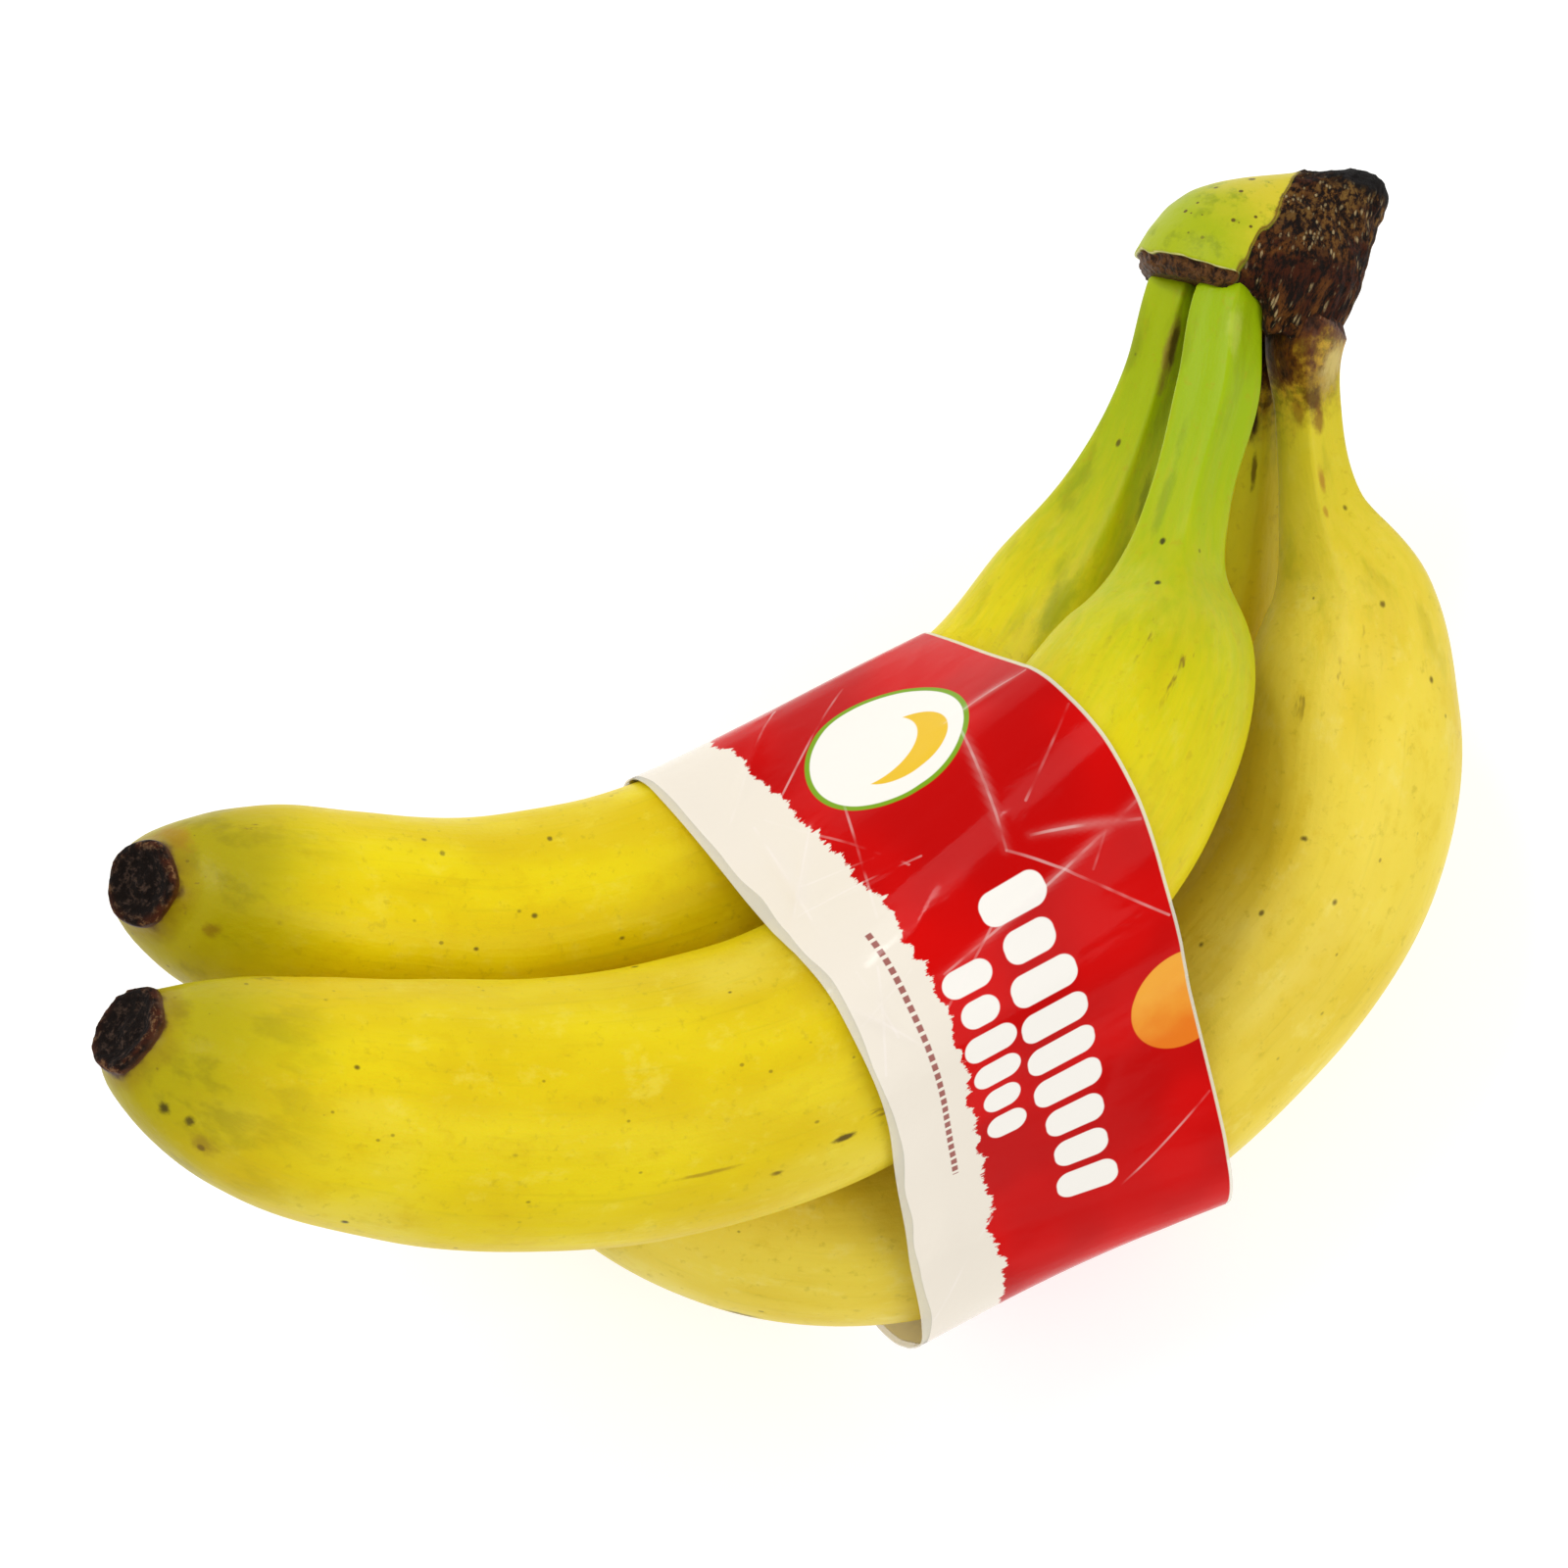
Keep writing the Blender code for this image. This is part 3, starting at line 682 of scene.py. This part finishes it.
def crownMaterial():
    # green banana crown: moist rind on one side, dull and torn where its fibres have dried on the other
    material, add = newMaterial("crownRind")
    look = crownLook
    place = add("Attribute", {}, "Vector", attribute_name="crownPlace")
    dried = add("Attribute", {}, "Fac", attribute_name="dried")
    rim = add("Attribute", {}, "Fac", attribute_name="rim")
    across, height, _ = add("SeparateXYZ", [place]).node.outputs

    def field(key):
        return noiseField(add, place, *look[key])

    # the pad, yellowing towards the top
    slope = add("Math", [across, height], operation="ADD")
    slope = add("Math", [field("broad"), 0.016, slope], operation="MULTIPLY_ADD")
    rind = layOver(add, look["green"], look["yellow"], (slope, 0.004, 0.024))
    rind = layOver(add, rind, look["shade"], (field("shading"), 0.5, 0.68, 0.0, 0.75))
    for spacing, bare in look["spots"]:
        away, tint = cellField(add, place, spacing, (1, 1, 1))
        beyond = add("Math", [tint[0], -0.22, away], operation="MULTIPLY_ADD")
        rind = layOver(add, rind, look["spot"], (beyond, -0.02, 0.07, 0.95, 0.0), (tint[1], bare, bare + 0.05))
    # the dried side: black to brown, tan and pale in blotches
    fibre, coarse = field("fibres"), field("coarse")
    tissue = layOver(add, look["dried"], look["driedBrown"], (fibre, 0.42, 0.6))
    tissue = layOver(add, tissue, look["driedTan"], (coarse, 0.44, 0.64), (fibre, 0.4, 0.6))
    upper = (height, 0.006, 0.019)
    paleParts = (field("blotches"), 0.40, 0.56), upper, (fibre, 0.46, 0.62, 0.0, 0.9)
    tissue = layOver(add, tissue, look["driedPale"], *paleParts)
    # short pale fibre ends, each in its own cell
    away, tint = cellField(add, place, *look["threads"])
    thread = maskOf(add, (away, 0.25, 0.5, 1.0, 0.0), (tint[0], 0.62, 0.7), (coarse, 0.42, 0.55))
    tissue = layOver(add, tissue, look["fibre"], thread, 0.75)
    top = add("Math", [coarse, 0.006, height], operation="MULTIPLY_ADD")
    tissue = layOver(add, tissue, look["char"], (top, 0.0235, 0.0262))
    # the cut rim under the pad, with a pale line where the skin ends
    cut = layOver(add, look["rimDark"], look["rim"], (fibre, 0.4, 0.58))
    cut = layOver(add, cut, look["fibre"], (fibre, 0.64, 0.72, 0.0, 0.7))
    colour = layOver(add, rind, cut, (rim, 0.25, 0.6))
    colour = layOver(add, colour, look["edge"], (rim, 0.0, 0.2), (rim, 0.2, 0.5, 1.0, 0.0), 0.9)
    colour = layOver(add, colour, look["driedTan"], (dried, 0.05, 0.3), (dried, 0.3, 0.6, 1.0, 0.0), 0.8)
    colour = layOver(add, colour, tissue, (dried, 0.3, 0.7))
    torn = maskOf(add, (add("Math", [dried, rim], operation="ADD"), 0.1, 0.6))
    relief = maskOf(add, add("Math", [fibre, thread], operation="ADD"), torn)
    normal = add("Bump", {"Height": relief, "Strength": 0.9, "Distance": 0.0010})
    normal = add("Bump", {"Height": field("skin"), "Strength": 0.2, "Distance": 0.0006, "Normal": normal})
    return finishMaterial(material, {
        "Base Color": colour, "Roughness": maskOf(add, (dried, 0.2, 0.8, 0.45, 0.8)), "Normal": normal,
        "IOR": 1.45, "Specular IOR Level": 0.18,
        "Subsurface Weight": 0.06, "Subsurface Radius": (1.0, 0.6, 0.15), "Subsurface Scale": 0.003,
    })


points, place, dried, rim = crownGrid()
crownPiece = gridMesh("crown_rind", toFrame(points), floats={"dried": dried, "rim": rim},
                      vectors={"crownPlace": place * 0.001})
crownPiece.data.materials.append(crownMaterial())
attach(crownPiece, "root")
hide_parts("crown")
print("crown made")


# the printed film round the fruits (mm)
band = {
    "centre": np.array([22.5, -31.0, -2.0]),
    "turn": math.radians(207.5),
    "tilt": math.radians(16.0),
    "width": 52.0,
    "clearance": 0.5,
    "thickness": 0.22,      # real film is thinner, and would not survive as a solid
    "segments": 520,
    "stations": 75,
    "sections": 14,         # where the fruits are cut to find its outline
    "slack": 0.28,          # mm of slow waves in the film
    "looseEdge": 9.0,       # mm, the edge towards the tips that stands off
    "looseLift": 1.5,
    "faintCreases": 26,
    "margin": 1.3,          # clear film beyond the print, at the edge towards the tips
    "marginStem": 0.5,      # and at the other
    "creamWidth": 12.5,
}
flat = np.array([math.cos(band["turn"]), math.sin(band["turn"]), 0.0])
bandAxis = flat * math.cos(band["tilt"]) + outOfHand * math.sin(band["tilt"])
bandAcross = np.array([-math.sin(band["turn"]), math.cos(band["turn"]), 0.0])
bandOut = np.cross(bandAxis, bandAcross)


def sectionHull(station):
    # outline of the fruits where a plane across the band cuts them
    found = []
    for rings in fruitGrids.values():
        away = (rings - band["centre"]) @ bandAxis - station
        near, far = away[:-1], away[1:]
        hit = near * far < 0.0
        share = (near / (near - far + 1e-12))[hit][:, None]
        cut = rings[:-1][hit] * (1 - share) + rings[1:][hit] * share - band["centre"]
        found.append(np.stack([cut @ bandAcross, cut @ bandOut], 1))
    points = np.vstack(found)
    order = convex_hull_2d([Vector(p) for p in points])
    return points[order]


def hullReach(outline, angles):
    # how far the outline lies from the middle in each direction
    a = outline
    b = np.roll(outline, -1, axis=0)
    edge = b - a
    rayX, rayY = np.cos(angles)[:, None], np.sin(angles)[:, None]
    cross = rayX * edge[:, 1] - rayY * edge[:, 0]
    cross = np.where(np.abs(cross) < 1e-9, 1e-9, cross)
    reach = (a[:, 0] * edge[:, 1] - a[:, 1] * edge[:, 0]) / cross
    along = (a[:, 0] * rayY - a[:, 1] * rayX) / cross
    good = (reach > 0) & (along >= -1e-6) & (along <= 1 + 1e-6)
    return np.where(good, reach, 0.0).max(axis=1)


def bandGrid():
    # the loop starts at the back, under the bunch
    angles = np.linspace(-0.5 * math.pi, 1.5 * math.pi, band["segments"], endpoint=False)
    stations = np.linspace(-band["width"] / 2.0, band["width"] / 2.0, band["stations"])
    coarse = np.linspace(-band["width"] / 2.0, band["width"] / 2.0, band["sections"])
    reaches = np.array([hullReach(sectionHull(s), angles) for s in coarse])
    slope = (reaches[-1] - reaches[0]) / band["width"]
    straightLine = reaches[0] + np.outer(coarse - coarse[0], slope)
    excess = (reaches - straightLine).max(axis=0)
    reach = reaches[0] + np.outer(stations - stations[0], slope) + excess + band["clearance"]
    rays = np.outer(np.cos(angles), bandAcross) + np.outer(np.sin(angles), bandOut)
    skin = band["centre"] + stations[:, None, None] * bandAxis + rays[None] * reach[..., None]
    # how far round the loop each point is, in mm, measured on the middle of the band
    row = skin[band["stations"] // 2]
    lengths = np.linalg.norm(np.roll(row, -1, axis=0) - row, axis=1)
    roll = np.r_[0.0, np.cumsum(lengths)[:-1]]
    return skin, rays, roll, lengths.sum(), stations


skin, rays, roll, loopLength, stations = bandGrid()
print("band loop mm", round(loopLength, 1))
# mm round the loop and along the bunch at each point
rollGrid = np.broadcast_to(roll, skin.shape[:2])
acrossGrid = np.broadcast_to((stations + band["width"] / 2.0)[:, None], skin.shape[:2])

# the half of the loop that is on top
viewed = slice(band["segments"] // 4, 3 * band["segments"] // 4)
middleRow = (skin[band["stations"] // 2] - band["centre"])[viewed] @ bandAcross


def rollAt(across):
    # mm round the loop, on the printed side, of a place this far across the bunch
    return float(np.interp(-across, -middleRow, roll[viewed]))


# creases in the film: mm across the bunch and along it at each end, height and half width
creases = [
    (-11.0, -26.0, -3.0, 10.0, 0.45, 0.8), (-37.0, 18.0, -19.0, 21.5, 0.45, 0.9),
    (-33.0, 12.0, -22.0, 25.0, 0.35, 0.7), (-7.0, 25.5, 5.0, 17.0, 0.5, 0.8),
    (-9.0, 18.0, 6.0, 24.0, 0.4, 0.7), (-30.5, -25.0, -32.0, -12.0, 0.5, 0.9),
    (-31.0, -13.0, -14.0, -6.0, 0.35, 1.0), (-8.7, -25.0, -14.0, -10.0, 0.35, 0.8),
    (-20.0, 4.0, -24.0, 22.0, 0.3, 0.8), (-50.0, 2.0, -38.0, 22.0, 0.3, 0.9),
]
# the finest ones only show as painted highlight lines, white along the crease
glintCreases = [row[:4] for row in creases] + [
    (-33.0, 6.0, -16.0, 14.0), (-37.0, 16.0, -20.0, 6.0), (-29.0, 24.0, -24.0, 9.0),
    (-14.0, -6.0, 5.0, -25.0), (-46.0, -8.0, -38.0, 12.0), (-2.0, 24.0, -6.0, 14.0),
    (-10.0, 21.0, 2.0, 20.0), (30.0, -25.0, 38.0, -8.0), (-12.0, -22.0, -6.0, -16.0),
    (2.0, 12.0, -8.0, -2.0), (36.0, 12.0, 50.0, 24.0), (-24.0, -25.0, -18.0, -12.0),
]
randomCreases = np.random.default_rng(11)
# faint creases everywhere
for _ in range(band["faintCreases"]):
    start = randomCreases.uniform((-58.0, -26.0), (58.0, 24.0))
    swing = randomCreases.uniform(0.0, math.pi)
    size = randomCreases.uniform(6.0, 20.0)
    stop = start + size * np.array([math.cos(swing) * 0.8, math.sin(swing)])
    creases.append((*start, *stop, randomCreases.uniform(0.06, 0.16), randomCreases.uniform(0.9, 1.6)))


def creaseHeight(u, v):
    height = np.zeros(u.shape)
    sharp = np.zeros(u.shape)
    for across0, along0, across1, along1, tall, wide in creases:
        u0, u1 = rollAt(across0), rollAt(across1)
        v0, v1 = along0 + band["width"] / 2.0, along1 + band["width"] / 2.0
        du, dv = u1 - u0, v1 - v0
        t = np.clip(((u - u0) * du + (v - v0) * dv) / (du * du + dv * dv), 0.0, 1.0)
        away = np.hypot(u - u0 - t * du, v - v0 - t * dv)
        fade = np.sin(math.pi * np.clip(t, 0.08, 0.92))
        height += tall * fade * np.exp(-np.abs(away / wide) ** 1.3)
        if tall > 0.3:
            sharp = np.maximum(sharp, fade * np.exp(-((away / 0.55) ** 2)))
    return height, sharp


lift, creaseGrid = creaseHeight(rollGrid, acrossGrid)
slack = bumpNoise(np.stack([rollGrid, acrossGrid * 0.5, np.zeros_like(rollGrid)], -1), 16.0, 60.0)
lift = lift + band["slack"] * (slack + 0.6)
# the edge towards the tips stands off the fruit where the film is loose
loose = np.clip(bumpNoise(np.stack([rollGrid, 0 * rollGrid, 0 * rollGrid], -1), 26.0, 71.0) + 0.35, 0, 1)
nearEdge = smooth(band["width"] - band["looseEdge"], band["width"], acrossGrid)
lift = lift + band["looseLift"] * loose * nearEdge**1.5
outer = skin + rays[None] * lift[..., None]
inner = outer - rays[None] * band["thickness"]
shell = np.concatenate([outer, inner[::-1]])
shell = np.swapaxes(shell, 0, 1)


def bothSides(values):
    return np.concatenate([values, values[::-1]]).T


inside = np.concatenate([np.zeros_like(rollGrid), np.ones_like(rollGrid)]).T
bandPlace = np.stack([bothSides(rollGrid), bothSides(acrossGrid), 0.0 * inside], -1) * 0.001
filmPoints = toFrame(shell)
filmPoints[..., 2] = np.maximum(filmPoints[..., 2], np.where(inside > 0.5, band["thickness"] * 0.001, 0.0))

# colours, and sizes in mm. Across is from the bunch's middle, along from the band's middle.
bandLook = {
    "red": "#D20503", "redDeep": "#BE0302", "cream": "#EEE5D6", "white": "#F6F2EA", "ring": "#7DA51E",
    "orange": "#E87A1E", "orangeLight": "#F2A83A", "line": "#8E2420", "clear": "#F8F5E6", "clearAlpha": 0.48,
    "creaseGlint": "#FBF2EC", "creaseHighlight": "#F4E9E2", "back": "#E9E2D2",
    "crisp": 0.12,          # width of a printed edge
    "badge": {"across": -35.0, "along": -4.5, "halfWide": 13.6, "halfTall": 12.0, "ring": 0.9},
    "crescent": {"across": 1.5, "along": -1.0, "radius": 7.6, "cut": 7.8, "shift": 4.2, "ink": "#EBC02C"},
    # rows of plain rounded blocks: middle across, how many, place along the bunch, height, pitch
    "rows": [(15.5, 9, -3.5, 11.6, 6.7), (11.5, 6, 7.2, 8.8, 5.6)],
    "blockCorner": 2.2,
    "disc": {"across": 17.0, "along": -24.0, "radius": 8.5},
    "dashes": {"across": 8.0, "half": 24.0, "along": 16.5, "pitch": 1.7},
    # noise: lumps in mm, stretch, detail, roughness
    "lobes": (7.5, (1, 0.2, 1)),
    "teeth": (2.1, (1, 0.35, 1), 5.0, 0.75),
    "ground": (30.0, (1, 1, 1)),
    "wash": (5.0, (1, 1, 1), 3.0),
    "trim": (20.0, (1, 0, 1), 1.0),
    "breaks": (7.5, (1, 1, 1)),
    "crinkle": (6.0, (1, 0.6, 1), 3.0, 0.55),
}


def longSide(add, a, b):
    # length of the slope over two sides at a right angle
    square = add("Math", [a, a], operation="MULTIPLY")
    square = add("Math", [b, b, square], operation="MULTIPLY_ADD")
    return add("Math", [square], operation="SQRT")


def awayFrom(add, place, centre, squash=1.0):
    # distance on the film from a point, with the ring squashed along the bunch
    offU, offV = [add("Math", [p, c], operation="SUBTRACT") for p, c in zip(place, centre)]
    return longSide(add, offU, add("Math", [offV, squash], operation="MULTIPLY"))


def outsideBlock(add, offs, halves, corner):
    # distance outside a block with round corners, from the offsets to its middle
    past = []
    for off, half in zip(offs, halves):
        side = add("Math", [off], operation="ABSOLUTE")
        side = add("Math", [side, add("Math", [half, corner], operation="SUBTRACT")], operation="SUBTRACT")
        past.append(add("Math", [side, 0.0], operation="MAXIMUM"))
    return add("Math", [longSide(add, *past), corner], operation="SUBTRACT")


def filmMaterial():
    # polypropylene film, printed on its back: solid colours, clear edges, a hard gloss and fine crinkles
    material, add = newMaterial("printedPolypropyleneFilm")
    look = bandLook
    place = add("Attribute", {}, "Vector", attribute_name="bandPlace")
    inside = add("Attribute", {}, "Fac", attribute_name="inside")
    crease = add("Attribute", {}, "Fac", attribute_name="crease")
    flatPlace = add("VectorMath", [place, (1000.0, 1000.0, 1000.0)], operation="MULTIPLY")
    u, v, _ = add("SeparateXYZ", [flatPlace]).node.outputs
    middleV = band["width"] / 2.0

    def field(key):
        return noiseField(add, place, *look[key])

    def upTo(distance, edge):
        return distance, edge - look["crisp"], edge + look["crisp"], 1.0, 0.0

    def beyond(distance, edge):
        return distance, edge - look["crisp"], edge + look["crisp"]

    # red ground and cream border with a torn edge: lobes of several mm with finer teeth
    torn = wander(add, wander(add, v, field("lobes"), 5.5), field("teeth"), 5.2)
    colour = layOver(add, look["red"], look["redDeep"], (field("ground"), 0.4, 0.6))
    tornEdge = band["width"] - band["margin"] - band["creamWidth"]
    colour = layOver(add, colour, look["cream"], beyond(torn, tornEdge))
    # an orange disc, cut by the edge
    disc = look["disc"]
    centre = rollAt(disc["across"]), middleV + disc["along"]
    lit = add("Math", [u, centre[0]], operation="SUBTRACT")
    lit = add("Math", [field("wash"), 12.0, lit], operation="MULTIPLY_ADD")
    ink = layOver(add, look["orange"], look["orangeLight"], (lit, -2.0, 12.0))
    colour = layOver(add, colour, ink, upTo(awayFrom(add, (u, v), centre), disc["radius"]))
    # a white oval badge in a thin green ring
    badge = look["badge"]
    centre = rollAt(badge["across"]), middleV + badge["along"]
    away = awayFrom(add, (u, v), centre, badge["halfWide"] / badge["halfTall"])
    colour = layOver(add, colour, look["ring"], upTo(away, badge["halfWide"] + badge["ring"]))
    colour = layOver(add, colour, look["white"], upTo(away, badge["halfWide"]))
    # in the badge, a plain yellow crescent: a disc less a larger disc beside it
    crescent = look["crescent"]
    centre = rollAt(badge["across"] + crescent["across"]), middleV + badge["along"] + crescent["along"]
    beside = centre[0] + crescent["shift"], centre[1] + 0.8 * crescent["shift"]
    whole = upTo(awayFrom(add, (u, v), centre), crescent["radius"])
    rest = beyond(awayFrom(add, (u, v), beside), crescent["cut"])
    colour = layOver(add, colour, crescent["ink"], whole, rest)
    # rows of plain white blocks, of uneven heights
    for across, count, along, tall, pitch in look["rows"]:
        middle = rollAt(across)
        halfRow = count * pitch / 2.0
        walked = add("Math", [u, middle - halfRow], operation="SUBTRACT")
        number = add("Math", [add("Math", [walked, pitch], operation="DIVIDE")], operation="FLOOR")
        blockMiddle = add("Math", [number, pitch, pitch / 2.0], operation="MULTIPLY_ADD")
        offU = add("Math", [walked, blockMiddle], operation="SUBTRACT")
        offV = add("Math", [v, middleV + along], operation="SUBTRACT")
        key = add("Math", [number, along], operation="ADD")
        random = add("TexWhiteNoise", {"W": key}, "Value", noise_dimensions="1D")
        halfTall = add("Math", [random, 0.16 * tall, 0.34 * tall], operation="MULTIPLY_ADD")
        edge = outsideBlock(add, (offU, offV), (0.39 * pitch, halfTall), look["blockCorner"])
        inRow = add("Math", [u, middle, halfRow], operation="COMPARE")
        colour = layOver(add, colour, look["white"], inRow, upTo(edge, 0.0))
    # a fine dashed rule on the cream border
    dashes = look["dashes"]
    offV = add("Math", [v, middleV + dashes["along"]], operation="SUBTRACT")
    offV = add("Math", [offV], operation="ABSOLUTE")
    beat = add("Math", [add("Math", [u, dashes["pitch"]], operation="DIVIDE")], operation="FRACT")
    inRow = add("Math", [u, rollAt(dashes["across"]), dashes["half"]], operation="COMPARE")
    strokes = (beat, 0.62, 0.7, 1.0, 0.0), (offV, 0.35, 0.6, 0.85, 0.0), inRow
    colour = layOver(add, colour, look["line"], *strokes)
    # the print ends short of both edges, where the film is clear
    low = maskOf(add, upTo(v, band["marginStem"]))
    high = maskOf(add, beyond(wander(add, v, field("trim"), 3.6), band["width"] - band["margin"]))
    clear = add("Math", [low, high], operation="MAXIMUM")
    colour = layOver(add, colour, look["clear"], clear)
    # painted highlights: thin white lines where the film is creased, broken up along their length
    breaks = maskOf(add, (field("breaks"), 0.34, 0.66))
    for across0, along0, across1, along1 in glintCreases:
        u0, v0 = rollAt(across0), middleV + along0
        du, dv = rollAt(across1) - u0, along1 - along0
        square = du * du + dv * dv
        t = add("Math", [u, du / square, -(u0 * du + v0 * dv) / square], operation="MULTIPLY_ADD")
        t = add("Math", [v, dv / square, t], operation="MULTIPLY_ADD")
        t = add("Clamp", [t])
        footU = add("Math", [t, du, u0], operation="MULTIPLY_ADD")
        footV = add("Math", [t, dv, v0], operation="MULTIPLY_ADD")
        away = awayFrom(add, (u, v), (footU, footV))
        away = add("Math", [away, 2.0], operation="POWER")
        colour = layOver(add, colour, look["creaseGlint"], (away, 0.004, 0.07, 0.32, 0.0), breaks)
    # a faint painted highlight over the sharper creases
    colour = layOver(add, colour, look["creaseHighlight"], crease, 0.16)
    colour = layOver(add, colour, look["back"], inside, 0.8)
    alpha = maskOf(add, (clear, 0.0, 1.0, 1.0, look["clearAlpha"]))
    alpha = add("Math", [alpha, maskOf(add, crease, 0.7)], operation="MAXIMUM")
    normal = add("Bump", {"Height": field("crinkle"), "Strength": 0.25, "Distance": 0.0006})
    return finishMaterial(material, {
        "Base Color": colour, "Roughness": 0.12, "IOR": 1.49, "Specular IOR Level": 0.07, "Alpha": alpha,
        "Normal": normal,
    })


film = gridMesh("film_band_print", filmPoints, loop=True, vectors={"bandPlace": bandPlace},
                floats={"inside": inside, "crease": bothSides(creaseGrid)})
film.data.set_sharp_from_angle(angle=math.radians(50.0))
film.data.materials.append(filmMaterial())
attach(film, "root")
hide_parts("film_band")
print("band made")

studio = {
    "table": "#C6C6C5",
    "cameraAway": 0.700,
    "viewWidth": 0.240,     # m seen across the hand's plane
    "sensor": 36.0,
    # lamps: place from the bunch's middle (m), width (m), watts
    "lamps": {
        "key": ((-0.55, 0.45, 0.85), 0.7, 4.0),
        "glint": ((-0.20, 0.42, 0.75), 0.10, 0.8),
        "fill": ((0.8, -0.5, 0.7), 0.9, 4.1),
    },
    "sky": 0.62,
    "tableGlow": 0.58,
    "tableHalf": 4.0,
    "tableDrop": 0.0002,    # m between the table and the bunch, so that their faces don't flicker
}
tableMesh = bpy.data.meshes.new("table")
half = studio["tableHalf"]
corners = [(-half, -half, 0.0), (half, -half, 0.0), (half, half, 0.0), (-half, half, 0.0)]
tableMesh.from_pydata(corners, [], [(0, 1, 2, 3)])
tableTop = bpy.data.objects.new("table", tableMesh)
bpy.context.scene.collection.objects.link(tableTop)
tableTop.location.z = -studio["tableDrop"]
# matt white paint: the glow keeps the table white where the lamps fall off
paint, _ = newMaterial("mattWhitePaint")
tableMesh.materials.append(finishMaterial(paint, {
    "Base Color": studio["table"], "Roughness": 0.6, "Emission Color": (1.0, 1.0, 1.0, 1.0),
    "Emission Strength": studio["tableGlow"],
}))


def softLight(name, spot, aim, size, power):
    lamp = bpy.data.lights.new(name, "AREA")
    lamp.shape = "DISK"
    lamp.size = size
    lamp.energy = power
    item = bpy.data.objects.new(name, lamp)
    item.location = spot
    item.rotation_euler = (Vector(aim) - Vector(spot)).to_track_quat("-Z", "Y").to_euler()
    bpy.context.scene.collection.objects.link(item)


middle = (cadBox[0] + cadBox[1]) / 2.0
for name, (place, size, power) in studio["lamps"].items():
    softLight(name, middle + Vector(place), middle, size, power)
world = bpy.data.worlds.new("studio")
world.use_nodes = True
feedNode(world.node_tree.nodes["Background"], {"Color": (1.0, 1.0, 1.0, 1.0), "Strength": studio["sky"]})
bpy.context.scene.world = world
bpy.context.scene.view_settings.view_transform = "Standard"

camera = bpy.data.objects.new("camera", bpy.data.cameras.new("camera"))
camera.location = Vector(toFrame(np.array([0.0, 0.0, studio["cameraAway"] * 1000.0])))
camera.rotation_euler = (hand["lean"], 0.0, 0.0)
camera.data.sensor_width = studio["sensor"]
camera.data.lens = studio["sensor"] * studio["cameraAway"] / studio["viewWidth"]
camera.data.clip_start = 0.01
camera.data.clip_end = 20.0
bpy.context.scene.collection.objects.link(camera)
bpy.context.scene.camera = camera
print("table, lights and camera made")

print("done")
